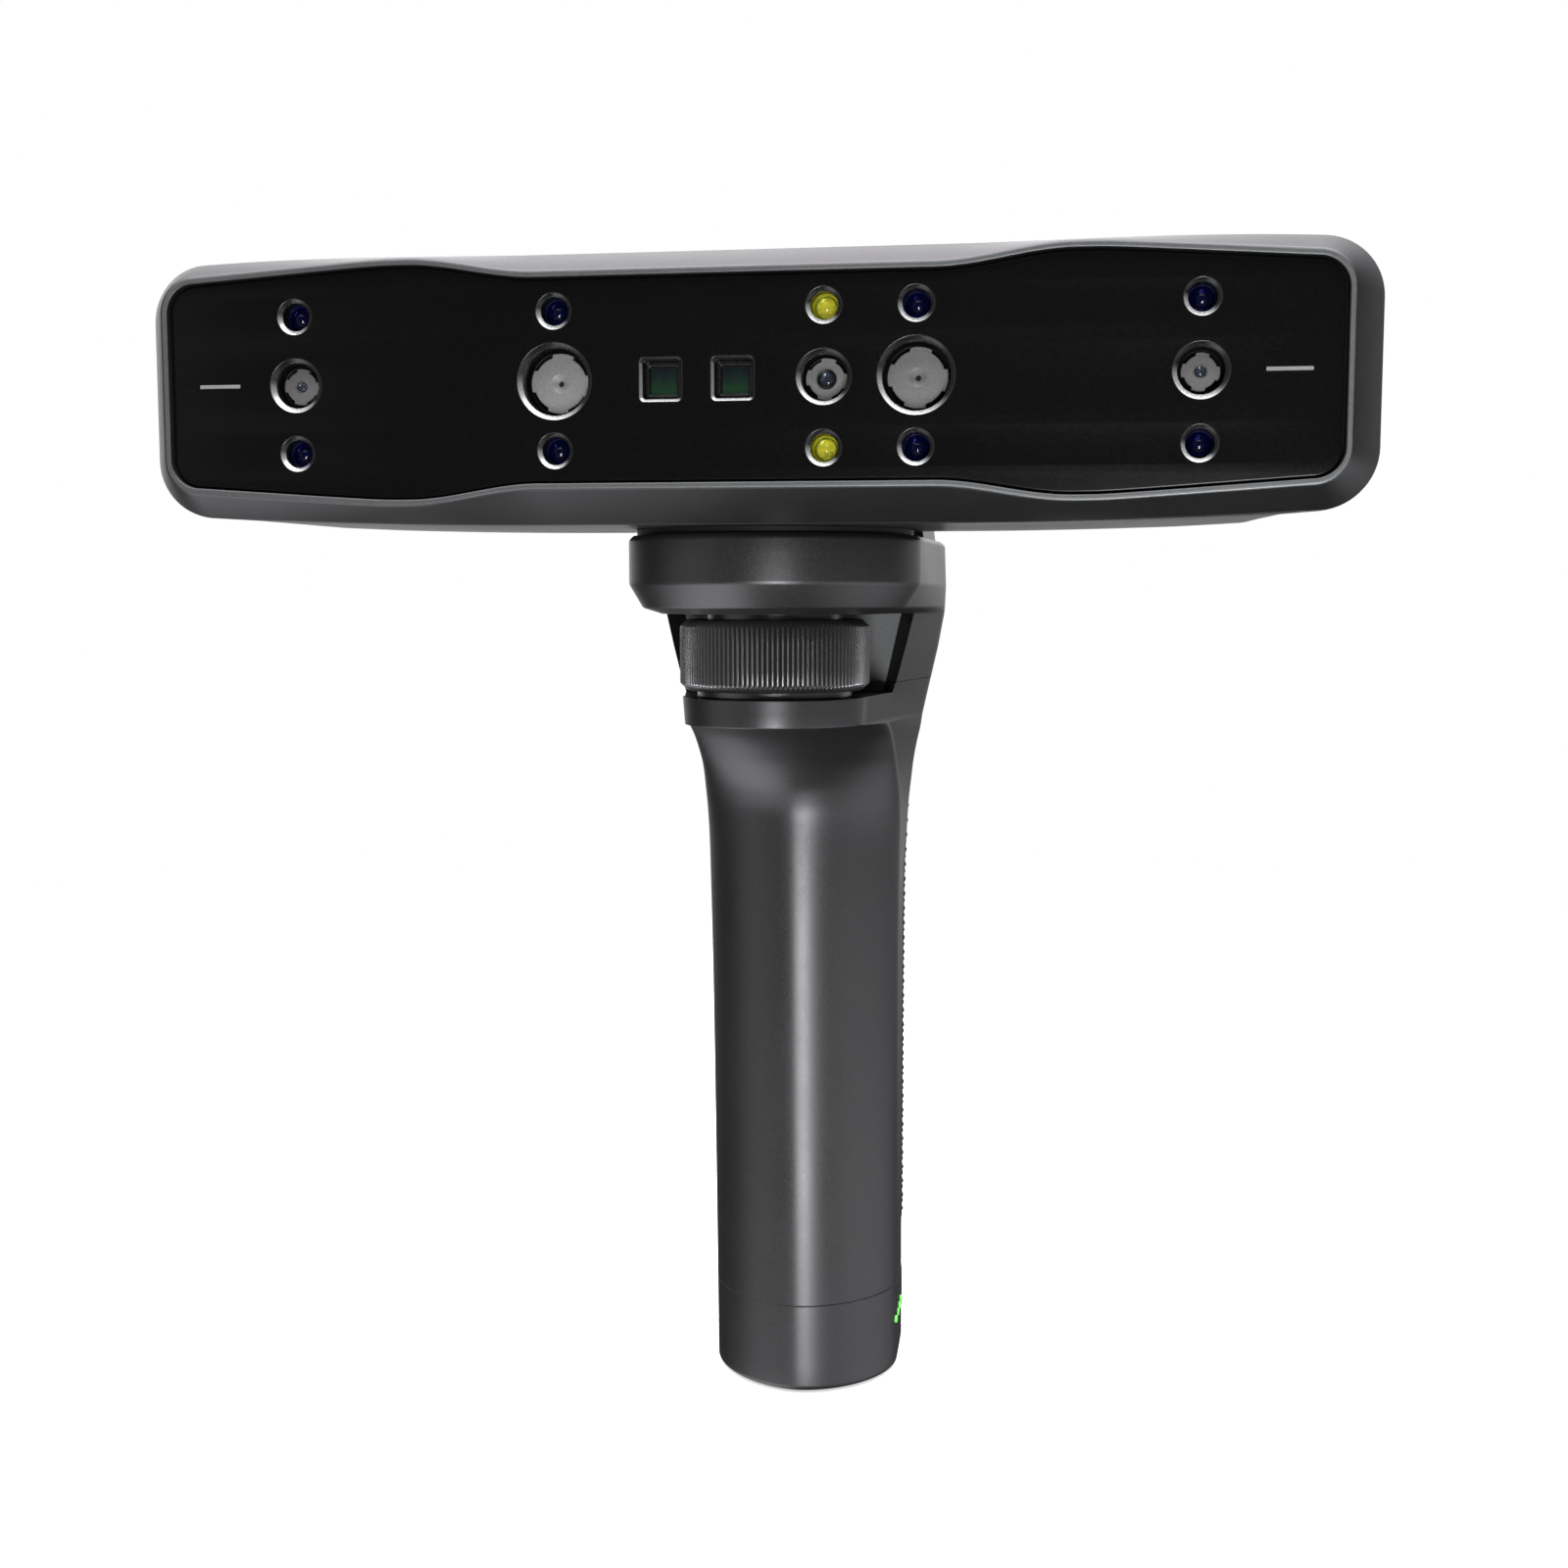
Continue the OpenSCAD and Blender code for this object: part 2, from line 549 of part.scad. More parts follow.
module upper_housing() place() color(housing_c) difference() {
  // [depth, offset] of the back stop's rings, from its top down
  stop_rings = [[17.6, -7], [18.2, -4.6], [19.6, -3], [21.5, -2.3], [24.8, -1.9]];
  union() {
    handle_loft([housing_top, 25.1, 33.2, 37.6, window_top, 45.6, leg_seam]);
    // raised back stop that stands behind the head
    intersection() {
      skin([for (e = stop_rings) [for (p = section(25.1, e[1])) [p[0], p[1], -e[0]]]]);
      box(-40, 40, 65.6, 120, -30, 0);
    }
  }
  wheel_window();
  // clamp screw, wheel collar and the round pocket above the window
  on_screw_axis(-50) cylinder(r = 3.4, h = 40, $fn = 96);
  on_screw_axis(-38.8) cylinder(r = 13.2, h = 0.9, $fn = 96);
  on_screw_axis(-35.6) cylinder(r = 19, h = 8.2, $fn = 96);
  each_pin(-28) cylinder(r = pin_r, h = 10, $fn = 64);
  box(-7.6, 7.6, 54.9, 60.1, -30, -20);
  // wiring bay behind the wheel and the channel to the contact block
  box(-12, 12, 71, 103, -60, -27);
  box(-7, 7, 56, 72, -34, -28.5);
  each_long_screw(-80) cylinder(r = 1.6, h = 60, $fn = 48);
  each_long_screw(-27.2) cylinder(r = 3, h = 12, $fn = 64);
}
module screw_plugs() place() color("#141414") each_long_screw(-24.6) union() {
  cylinder(r = 2.96, h = 6.2, $fn = 64);
  translate([0, 0, 6.2]) cylinder(r1 = 2.96, r2 = 2.5, h = 0.5, $fn = 64);
}
module neck_gasket() place() color("#0d0d0d") difference() {
  translate([0, 46, -housing_top]) cylinder(r = 26, h = 1.15, $fn = 128);
  on_screw_axis(-25) cylinder(r = 6.5, h = 3, $fn = 64);
  each_pin(-25) cylinder(r = 3, h = 3, $fn = 64);
  box(-8, 8, 54.5, 60.5, -25, -20);
  box(-40, 40, 65.4, 90, -30, -20);
}
module contact_block() place() color("#121212") difference() {
  box(-7.5, 7.5, 55, 60, -30, -23.7);
  each_contact(contact_tail_z) cylinder(r = contact_r, h = 10, $fn = 48);
}
module spring_contacts() place() color(contact_c)
  each_contact(contact_tail_z) cylinder(r = contact_r, h = neck_z - contact_tail_z, $fn = 48);
module locating_pins() place() color(steel_c) each_pin(-28) union() {
  cylinder(r = pin_r, h = 8.6, $fn = 64);
  translate([0, 0, 8.6]) cylinder(r1 = pin_r, r2 = 1.4, h = 0.7, $fn = 64);
}
module housing_screws() place() color(fastener_c) each_long_screw(0) difference() {
  union() {
    translate([0, 0, -27.2]) cylinder(r = 2.8, h = 2.4, $fn = 64);
    translate([0, 0, -64]) cylinder(r = 1.5, h = 37, $fn = 48);
  }
  translate([0, 0, -26]) cylinder(r = 1.3, h = 3, $fn = 64);
}
// three wires: back from the contact block, then down the grip
module wire_harness() place() color("#8a1f1f") {
  wire_r = 0.9;
  wire_z = -32.5;
  start_y = 58.5;
  bend_y = 86;
  for (x = [-3, 0, 3]) union() {
    for (y = [start_y, bend_y]) translate([x, y, wire_z]) sphere(r = wire_r, $fn = 32);
    translate([x, start_y, wire_z]) rotate([-90, 0, 0])
      cylinder(r = wire_r, h = bend_y - start_y, $fn = 32);
    translate([x, bend_y, wire_z]) rotate([180 - lean, 0, 0])
      cylinder(r = wire_r, h = 60, $fn = 32);
  }
}

// ---------- grip ----------
bay_h = 104;       // top of the battery bay along the grip axis
cell_y = 9.35;     // each cell's distance from the grip axis
pad_top = 74;      // depths of the rear pad's recess
pad_end = 176;

// upright slot round both cells, in the grip axis frame
module stadium(radius, z0, z1) translate([0, 0, z0]) linear_extrude(z1 - z0) union() {
  for (s = sides) translate([0, cell_y * s]) circle(r = radius, $fn = 96);
  square([2 * radius, 2 * cell_y], center = true);
}
// the four contact strips across the top of the bay, in the grip axis frame
module bay_strips(width, length, z, height) for (x = [-4.5, -1.5, 1.5, 4.5])
  translate([x - width / 2, -length / 2, z]) cube([width, length, height]);
// layer of the handle's surface between two depths and two offsets, behind a leaning plane
module rear_slab(top, end, plane_y, out, inner) let (span = end - top) intersection() {
  difference() {
    handle_loft([for (i = [0:6]) top + span * i / 6], out);
    handle_loft([for (i = [0:6]) top - 1 + (span + 2) * i / 6], inner);
  }
  translate([0, 0, -(top + end) / 2]) rotate([lean, 0, 0]) translate([-40, plane_y, -span])
    cube([80, 60, 2 * span]);
}

module grip_shell() place() color(housing_c) difference() {
  handle_loft([leg_seam - 1, window_floor, 59.4, 60.2, 62.7, 66, 70, 75, 80, 86, 97, 117, 150,
    cap_seam - gap]);
  // floor of the window, and the seam under the housing's legs
  wheel_window();
  box(-60, 60, 0, 140, -leg_seam - 0.1, -40);
  along_grip() {
    stadium(11, 10, bay_h);
    translate([0, 0, bay_h - 1]) cylinder(r = 8.5, h = 28, $fn = 64);
  }
  box(-12, 12, 71, 103, -79, -50);
  each_long_screw(-66) cylinder(r = 1.5, h = 20, $fn = 48);
  rear_slab(pad_top, pad_end, 101.2, out = 3, inner = -1.2);
}
module rear_grip_pad() place() color("#1a1a1a")
  rear_slab(pad_top + 0.2, pad_end - 0.2, 101.4, out = 0.4, inner = -1.1);
module bay_contacts() place() color(contact_c) along_grip() union() {
  bay_strips(1.2, 4, 100.3, bay_h - 100.3 + 0.4);
  difference() {
    translate([0, 0, bay_h + 0.2]) cylinder(r = 8.5, h = 2.4, $fn = 64);
    translate([-4, 3.2, bay_h]) cube([8, 3, 4]);
  }
}

// ---------- thumb wheel ----------
wheel_top = -39.7;
wheel_bottom = -53;
hex_z = -46;        // underside of the screw's hexagonal head
hex_r = 5.5;
clamp_r = 3.1;      // radius of the clamp screw

module thumb_wheel() place() color("#4b4c4f") difference() {
  edge_r = wheel_r + 0.1;
  face_r = wheel_r - 1.4;
  union() {
    // ribbed disc with both edges bevelled
    intersection() {
      on_screw_axis(wheel_bottom) linear_extrude(wheel_top - wheel_bottom)
        polygon([for (i = [0:2 * wheel_ribs - 1])
          let (angle = 180 * i / wheel_ribs, radius = i % 2 == 0 ? wheel_r : wheel_r - 0.55)
          [radius * cos(angle), radius * sin(angle)]]);
      on_screw_axis(0) rotate_extrude($fn = 128) polygon([[0, wheel_bottom],
        [face_r, wheel_bottom], [edge_r, -51.8], [edge_r, -41.1],
        [face_r, wheel_top], [0, wheel_top]]);
    }
    on_screw_axis(wheel_top) cylinder(r = 12.7, h = 1.6, $fn = 96);
    on_screw_axis(-54.1) cylinder(r = 14.6, h = 1.1, $fn = 96);
  }
  on_screw_axis(hex_z) cylinder(r = hex_r, h = 6, $fn = 6);
  on_screw_axis(hex_z) cylinder(r = clamp_r, h = 12, $fn = 96);
}
module clamp_screw() place() color(steel_c) union() {
  on_screw_axis(hex_z) cylinder(r = hex_r, h = 6, $fn = 6);
  on_screw_axis(-40.2) cylinder(r = clamp_r, h = 27.2, $fn = 96);
  on_screw_axis(-13) cylinder(r1 = clamp_r, r2 = 2.4, h = 0.8, $fn = 96);
}
module retaining_clip() place() color(fastener_c) on_screw_axis(-35.3) difference() {
  cylinder(r = 5.2, h = 0.8, $fn = 64);
  translate([0, 0, -1]) cylinder(r = clamp_r, h = 3, $fn = 96);
  translate([-1.6, 0, -1]) cube([3.2, 8, 3]);
}

// ---------- battery pack ----------
case_r = 10.6;
case_z = 17.4;      // bottom of the case along the grip axis
latch_y = 105.2;
latch_top = 185.6;
latch_end = 197;

// row of four charge lights, pointing along +X
module each_light(x)
  for (i = [0:3]) translate([x, 90 + 4.07 * i, -192.6]) rotate([0, 90, 0]) children();

module battery_cap() place() color(housing_c) difference() {
  edge_top = base_z - 1;  // where the rounded bottom edge starts
  union() {
    handle_loft([cap_seam, 190, edge_top]);
    skin([section(edge_top), section(base_z - 0.4, -0.35), section(base_z, -1.2)]);
  }
  // pocket for the battery case
  along_grip() {
    stadium(9.6, 4, 30);
    stadium(case_r, case_z, 30);
  }
  each_light(8) cylinder(r = 0.82, h = 20, $fn = 48);
  rear_slab(latch_top - 0.2, latch_end + 0.2, latch_y - 1.5, out = 3, inner = -3.6);
}
module battery_case() place() color("#222326") along_grip() difference() {
  stadium(case_r, case_z, 100);
  stadium(9.5, 16, 98.6);
  bay_strips(1.6, 5.2, 95, 10);
}
module battery_cells() place() color("#3a6ea5") along_grip()
  for (s = sides) translate([0, cell_y * s, 0]) union() {
    translate([0, 0, 24]) cylinder(r = 9.2, h = 64.4, $fn = 96);
    translate([0, 0, 88.4]) cylinder(r = 3.4, h = 1, $fn = 64);
  }
module battery_board() place() color(board_c) along_grip() union() {
  translate([-7, -15, 90.2]) cube([14, 30, 1.4]);
  bay_strips(1.4, 4.8, 91.4, 8.9);
}
module charge_lights() place() color("#6fdd55")
  each_light(12) cylinder(r = 0.8, h = 7.55, $fn = 48);
module battery_latch() place() color("#151515")
  rear_slab(latch_top, latch_end, latch_y, out = 0.4, inner = -2);

front_frame();
rear_shell();
front_panel();
panel_gasket();
index_marks();
optical_bench();
bench_screws();
outer_lens_barrels();
outer_lens_rings();
outer_lens_glass();
inner_lens_barrels();
inner_lens_rings();
inner_lens_glass();
color_lens_barrel();
color_lens_ring();
color_lens_glass();
blue_led_domes();
yellow_led_domes();
led_boards();
laser_modules();
laser_window_frames();
laser_window_glass();
camera_boards();
main_board();
heat_sink();
fan_frame();
fan_rotor();
control_panel();
button_board();
scan_button();
plus_button();
minus_button();
usb_socket();
port_cover();
thread_insert();
contact_pads();
shell_screws();
upper_housing();
neck_gasket();
contact_block();
spring_contacts();
locating_pins();
housing_screws();
screw_plugs();
wire_harness();
grip_shell();
rear_grip_pad();
bay_contacts();
thumb_wheel();
clamp_screw();
retaining_clip();
battery_cap();
battery_case();
battery_cells();
battery_board();
charge_lights();
battery_latch();
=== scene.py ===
"""Handheld structured-light scanner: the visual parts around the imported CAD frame.

The wide head faces -y with a row of cameras and lamps. The handle hangs below it, with a
thumb wheel near the top and a battery at the foot, and leans rearwards on its way down.

Shapes are in millimetres in the head's frame: x to the object's left, y rearwards from
the front panel, z up from the row of cameras. A depth is a distance below that row.
"""
import math
from collections import namedtuple

import bmesh
import bpy
import numpy as np
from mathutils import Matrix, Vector
from mathutils.geometry import tessellate_polygon


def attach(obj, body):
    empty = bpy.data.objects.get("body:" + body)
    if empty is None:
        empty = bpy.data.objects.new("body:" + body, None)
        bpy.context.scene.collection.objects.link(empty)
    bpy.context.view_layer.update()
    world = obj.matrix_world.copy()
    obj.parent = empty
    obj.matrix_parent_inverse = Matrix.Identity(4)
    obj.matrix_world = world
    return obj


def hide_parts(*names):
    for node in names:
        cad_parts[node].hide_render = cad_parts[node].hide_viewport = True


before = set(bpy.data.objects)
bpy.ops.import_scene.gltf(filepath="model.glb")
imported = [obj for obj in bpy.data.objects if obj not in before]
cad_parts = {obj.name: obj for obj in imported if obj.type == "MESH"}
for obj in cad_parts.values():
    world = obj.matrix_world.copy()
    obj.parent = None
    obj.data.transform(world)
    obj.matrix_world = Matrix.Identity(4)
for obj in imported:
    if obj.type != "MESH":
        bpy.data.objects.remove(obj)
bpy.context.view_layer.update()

FRONT_Y = 95.15  # from the front panel back to the scene's origin
ROW_HEIGHT = 203.3  # from the floor up to the row of cameras
MM = 0.001
X, Y, Z = 0, 1, 2


def to_metres(points):
    return (np.asarray(points, float).reshape(-1, 3) + np.array([0, -FRONT_Y, ROW_HEIGHT])) * MM


def step01(t):
    """Smooth step from 0 to 1."""
    t = min(1.0, max(0.0, t))
    return t * t * (3 - 2 * t)


# ------------------------------------------------------------------ mesh helpers
class Build:
    """Points in millimetres, and faces that each have a material number."""

    def __init__(self):
        self.points, self.faces, self.mats = [], [], []

    def ring(self, points):
        start = len(self.points)
        self.points.extend([tuple(map(float, p)) for p in points])
        return list(range(start, len(self.points)))

    def face(self, indices, mat=0):
        self.faces.append(tuple(indices))
        self.mats.append(mat)

    def bridge(self, a, b, mat=0, closed=True):
        n = len(a)
        for i in range(n if closed else n - 1):
            j = (i + 1) % n
            self.face((a[i], a[j], b[j], b[i]), mat)

    def loft(self, rings, mats=0, loop=False, caps=False):
        """Skin through point rings. mats is one number or one per span."""
        ids = [self.ring(r) for r in rings]
        spans = len(ids) if loop else len(ids) - 1
        if isinstance(mats, int):
            mats = [mats] * spans
        for k in range(spans):
            self.bridge(ids[k], ids[(k + 1) % len(ids)], mats[k])
        if caps:
            self.face(ids[0], mats[0])
            self.face(ids[-1], mats[-1])
        return ids

    def flat(self, outer, holes):
        """Flat face with holes, given as index lists."""
        loops = [outer] + holes
        indices = [i for loop in loops for i in loop]
        for tri in tessellate_polygon([[Vector(self.points[i]) for i in loop] for loop in loops]):
            self.face([indices[i] for i in tri])


def clean(mesh, merge, degenerate, recalc=False):
    """Merge doubles and drop slivers, by distances in metres."""
    bm = bmesh.new()
    bm.from_mesh(mesh)
    bmesh.ops.remove_doubles(bm, verts=bm.verts, dist=merge)
    bmesh.ops.dissolve_degenerate(bm, edges=bm.edges, dist=degenerate)
    if recalc:
        bmesh.ops.recalc_face_normals(bm, faces=bm.faces)
    bm.to_mesh(mesh)
    bm.free()


def shade(mesh, angle, plane=False):
    """Smooth shading with sharp edges; plane keeps the faces square to y flat."""
    smooth = [not (plane and abs(p.normal.y) > 0.9999) for p in mesh.polygons]
    mesh.polygons.foreach_set("use_smooth", smooth)
    mesh.set_sharp_from_angle(angle=math.radians(angle))
    mesh.update()


def mesh_object(name, b, mats, angle=30, plane=False):
    mesh = bpy.data.meshes.new(name)
    mesh.from_pydata([tuple(p) for p in to_metres(b.points)], [], b.faces)
    mesh.validate(verbose=False)
    for mat in mats:
        mesh.materials.append(mat)
    # validate may drop faces, and the numbers would then no longer line up
    if len(mesh.polygons) == len(b.mats):
        mesh.polygons.foreach_set("material_index", b.mats)
    clean(mesh, merge=2e-7, degenerate=1e-7, recalc=True)
    shade(mesh, angle, plane)
    ob = bpy.data.objects.new(name, mesh)
    bpy.context.scene.collection.objects.link(ob)
    return ob


def make(name, b, body, mats, node=None, angle=30, plane=False):
    """Object that rides on a body and may stand in for a node of the frame."""
    ob = mesh_object(name, b, mats, angle, plane)
    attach(ob, body)
    if node:
        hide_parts(node)
    return ob


def tool(name, b, mat=None):
    """Body for a boolean; its material passes to the faces it leaves."""
    return mesh_object(name, b, [mat or HOUSING])


def cut(ob, cutter, op="DIFFERENCE", angle=30):
    """Exact boolean of a built object with a tool, which is then removed."""
    mod = ob.modifiers.new("cut", "BOOLEAN")
    mod.operation = op
    mod.solver = "EXACT"
    mod.object = cutter
    depsgraph = bpy.context.evaluated_depsgraph_get()
    depsgraph.update()
    mesh = bpy.data.meshes.new_from_object(ob.evaluated_get(depsgraph), depsgraph=depsgraph)
    ob.modifiers.clear()
    ob.data = mesh
    bpy.data.objects.remove(cutter)
    clean(mesh, merge=3e-7, degenerate=2e-7)
    shade(mesh, angle)
    return ob


def rounded(rings, radii, steps=4, loop=False):
    """Rings of a skin with its corners rounded, by one radius per ring."""
    rings = [np.asarray(r, float) for r in rings]
    out, n = [], len(rings)
    for i, p in enumerate(rings):
        if radii[i] <= 0 or (not loop and i in (0, n - 1)):
            out.append(p)
            continue
        before, after = rings[i - 1], rings[(i + 1) % n]
        len_before = np.linalg.norm(before - p, axis=1, keepdims=True) + 1e-9
        len_after = np.linalg.norm(after - p, axis=1, keepdims=True) + 1e-9
        start = p + (before - p) * np.minimum(radii[i] / len_before, 0.45)
        end = p + (after - p) * np.minimum(radii[i] / len_after, 0.45)
        for j in range(steps + 1):
            t = j / steps
            out.append((1 - t) ** 2 * start + 2 * t * (1 - t) * p + t * t * end)
    return out


def circle(centre, radius, count=64, axis=Y):
    angle = np.arange(count) * 2 * math.pi / count
    ring = np.tile(np.array(centre, float), (count, 1))
    first, second = [i for i in (X, Y, Z) if i != axis]
    ring[:, first] += radius * np.cos(angle)
    ring[:, second] += radius * np.sin(angle)
    return ring


def turned_rings(centre, profile, count=64, axis=Y, steps=4, loop=False):
    """Rings about an axis. centre is the axis's place in the other two coordinates, in
    order, and profile holds (radius, place along the axis, optional corner rounding)."""
    rings, radii = [], []
    for radius, along, *corner in profile:
        place = list(centre)
        place.insert(axis, along)
        rings.append(circle(place, max(radius, 1e-4), count, axis))
        radii.append(corner[0] if corner else 0)
    return rounded(rings, radii, steps, loop)


def turn(b, centre, profile, count=64, axis=Y, mats=0, loop=False):
    """Turned body; loop joins the profile's ends."""
    rings = turned_rings(centre, profile, count, axis, loop=loop)
    b.loft(rings, mats, loop=loop, caps=not loop)


def rounded_rect(centre, half, corner, y, steps=8):
    """Ring square to y; centre and half (half size) are (x, z)."""
    points = []
    for sx, sz, start in ((1, 1, 90), (1, -1, 0), (-1, -1, -90), (-1, 1, -180)):
        for j in range(steps + 1):
            a = math.radians(start - 90 * j / steps)
            x = sx * (half[0] - corner) + corner * math.cos(a)
            z = sz * (half[1] - corner) + corner * math.sin(a)
            points.append((x + centre[0], y, z + centre[1]))
    return np.array(points, float)


def square_rings(x, table):
    """Square rings on the camera row, from (half size, corner radius, y)."""
    return [rounded_rect((x, 0), (half, half), corner, y) for half, corner, y in table]


def block(b, centre, half, corner, span, edges=(0, 0), steps=8, mat=0):
    """Rounded block along y over span, with rounding radii for its front and rear edges."""
    rings = []
    for y, edge, inward in zip(span, edges, (1, -1)):
        for j in range(5)[::inward] if edge else (4,):
            a = math.radians(90 * j / 4)
            inset = edge * (1 - math.sin(a))
            size = (half[0] - inset, half[1] - inset)
            y_ring = y + inward * edge * (1 - math.cos(a))
            rings.append(rounded_rect(centre, size, max(corner - inset, 0.05), y_ring, steps))
    b.loft(rings, mat, caps=True)


def wedge(low, high):
    """Symmetric prism between two levels (z, front y, front half width, rear y, rear half)."""
    b = Build()
    bottom, top = [
        b.ring([(-front, y0, z), (front, y0, z), (rear, y1, z), (-rear, y1, z)])
        for z, y0, front, y1, rear in (low, high)
    ]
    b.bridge(bottom, top)
    b.face(bottom[::-1])
    b.face(top)
    return b


# ------------------------------------------------------------------ shader helpers
class Graph:
    """The cleared node tree of a material or world, with short ways to add nodes."""

    def __init__(self, owner):
        owner.use_nodes = True
        self.tree = owner.node_tree
        self.tree.nodes.clear()

    def put(self, node, key, value):
        if isinstance(value, bpy.types.NodeSocket):
            self.tree.links.new(value, node.inputs[key])
        else:
            node.inputs[key].default_value = value

    def node(self, kind, *inputs, **named):
        """Add a node: inputs by number, settings in lower case, named inputs capitalised."""
        node = self.tree.nodes.new("ShaderNode" + kind)
        sockets = dict(enumerate(inputs))
        for key, value in named.items():
            if key.islower():
                setattr(node, key, value)
            else:
                sockets[key.replace("_", " ")] = value
        for key, value in sockets.items():
            self.put(node, key, value)
        return node

    def math(self, op, a, b=0.0, c=0.0, clamp=False):
        return self.node("Math", a, b, c, operation=op, use_clamp=clamp).outputs[0]

    def ramp(self, value, over, to=(0.0, 1.0)):
        """Smooth step of value over one range to another."""
        return self.node(
            "MapRange", interpolation_type="SMOOTHSTEP", clamp=True, Value=value,
            From_Min=over[0], From_Max=over[1], To_Min=to[0], To_Max=to[1],
        ).outputs[0]

    def mix(self, factor, a, b):
        node = self.node("Mix", data_type="RGBA")
        for key, value in ((0, factor), (6, a), (7, b)):
            self.put(node, key, value)
        return node.outputs[2]

    def mix_shader(self, factor, a, b):
        return self.node("MixShader", factor, a.outputs[0], b.outputs[0]).outputs[0]

    def noise(self, vector, scale, detail=2.0, roughness=0.5):
        return self.node("TexNoise", Vector=vector, Scale=scale, Detail=detail,
                         Roughness=roughness).outputs[0]

    def bump(self, height, strength, distance):
        return self.node("Bump", Strength=strength, Distance=distance, Height=height)


class Paint(Graph):
    """A new material with a principled shader, textured by object position."""

    def __init__(self, name):
        self.material = bpy.data.materials.new(name)
        super().__init__(self.material)
        self.output = self.node("OutputMaterial")
        self.shader = self.node("BsdfPrincipled")
        self.put(self.output, 0, self.shader.outputs[0])
        self.position = self.node("TexCoord").outputs["Object"]

    def set(self, **inputs):
        for key, value in inputs.items():
            self.put(self.shader, key.replace("_", " "), value)


def scaled(color, factor):
    return tuple(min(1, c * factor) for c in color[:3]) + (1,)


def srgb(text):
    """Linear colour from an sRGB hex string."""
    levels = [int(text[i : i + 2], 16) / 255 for i in (1, 3, 5)]
    return tuple(c / 12.92 if c <= 0.04045 else ((c + 0.055) / 1.055) ** 2.4
                 for c in levels) + (1.0,)


# ------------------------------------------------------------------ materials
def surface(name, color, rough, metallic=0.0, grain=2600, bump=0.06, vary=0.12,
            rough_vary=0.05, edge=0.00025, spec=0.5, coat=0.0, stretch=None, tint=None):
    """Moulded, coated or metal surface with fine grain in colour, roughness and bump.
    vary and rough_vary are the swings of colour and roughness, edge the softened radius
    in metres, stretch the grain's scale per axis and tint a second colour in broad patches."""
    g = Paint(name)
    vector = g.position
    if stretch:
        vector = g.node("Mapping", Vector=vector, Scale=stretch).outputs[0]
    fine = g.noise(vector, scale=grain, detail=3.0, roughness=0.6)
    broad = g.noise(g.position, scale=28, detail=3.0, roughness=0.55)
    col = g.mix(g.ramp(fine, over=(0.3, 0.7)), scaled(color, 1 - vary), scaled(color, 1 + vary))
    if tint:
        col = g.mix(g.ramp(broad, over=(0.35, 0.65), to=(0.0, 0.35)), col, tint)
    fine_rough = g.ramp(fine, over=(0.25, 0.75), to=(rough - rough_vary, rough + rough_vary))
    broad_rough = g.ramp(broad, over=(0.3, 0.7), to=(-0.5 * rough_vary, 0.5 * rough_vary))
    relief = g.bump(fine, strength=bump, distance=0.00004)
    if edge:
        g.put(relief, "Normal", g.node("Bevel", samples=4, Radius=edge).outputs[0])
    g.set(Base_Color=col, Roughness=g.math("ADD", fine_rough, broad_rough), Metallic=metallic,
          Specular_IOR_Level=spec, Coat_Weight=coat, Coat_Roughness=0.1,
          Normal=relief.outputs[0])
    if metallic > 0.5:
        g.set(Specular_Tint=(0.42, 0.42, 0.42, 1))
    return g.material


def turned_metal(name, color, rough, centre):
    """Metal with fine rings about a line along y through centre, in metres."""
    g = Paint(name)
    offset = g.node("VectorMath", g.position, centre, operation="SUBTRACT").outputs[0]
    x, _, z = g.node("SeparateXYZ", offset).outputs
    squares = g.math("ADD", g.math("MULTIPLY", x, x), g.math("MULTIPLY", z, z))
    radius = g.node("CombineXYZ", g.math("SQRT", squares)).outputs[0]
    lines = g.noise(radius, scale=8400, detail=3.0, roughness=0.7)
    fine = g.noise(g.position, scale=2800, detail=2.0, roughness=0.6)
    both = g.math("MULTIPLY_ADD", lines, 0.6, g.math("MULTIPLY", fine, 0.4))
    col = g.mix(g.ramp(both, over=(0.35, 0.65)), scaled(color, 0.82), scaled(color, 1.15))
    g.set(Base_Color=col, Metallic=0.2,
          Roughness=g.ramp(both, over=(0.3, 0.7), to=(rough - 0.06, rough + 0.06)),
          Normal=g.bump(both, strength=0.08, distance=0.00003).outputs[0])
    return g.material


def board_material():
    """Green circuit board with a grid of tracks and round gold pads."""
    g = Paint("circuit_board")
    grid = g.node("TexBrick", Vector=g.position, Scale=260, Mortar_Size=0.03).outputs["Fac"]
    mottle = g.ramp(g.noise(g.position, scale=500), over=(0.4, 0.6))
    base = g.mix(mottle, (0.006, 0.06, 0.028, 1), (0.01, 0.085, 0.04, 1))
    track = g.mix(g.math("MULTIPLY", grid, 0.55), base, (0.02, 0.17, 0.09, 1))
    cells = g.node("TexVoronoi", Vector=g.position, Scale=420).outputs["Distance"]
    pads = g.ramp(cells, over=(0.16, 0.12))
    g.set(Base_Color=g.mix(pads, track, (0.55, 0.42, 0.18, 1)),
          Roughness=g.ramp(cells, over=(0.0, 0.4), to=(0.25, 0.4)),
          Normal=g.bump(track, strength=0.3, distance=0.0001).outputs[0])
    return g.material


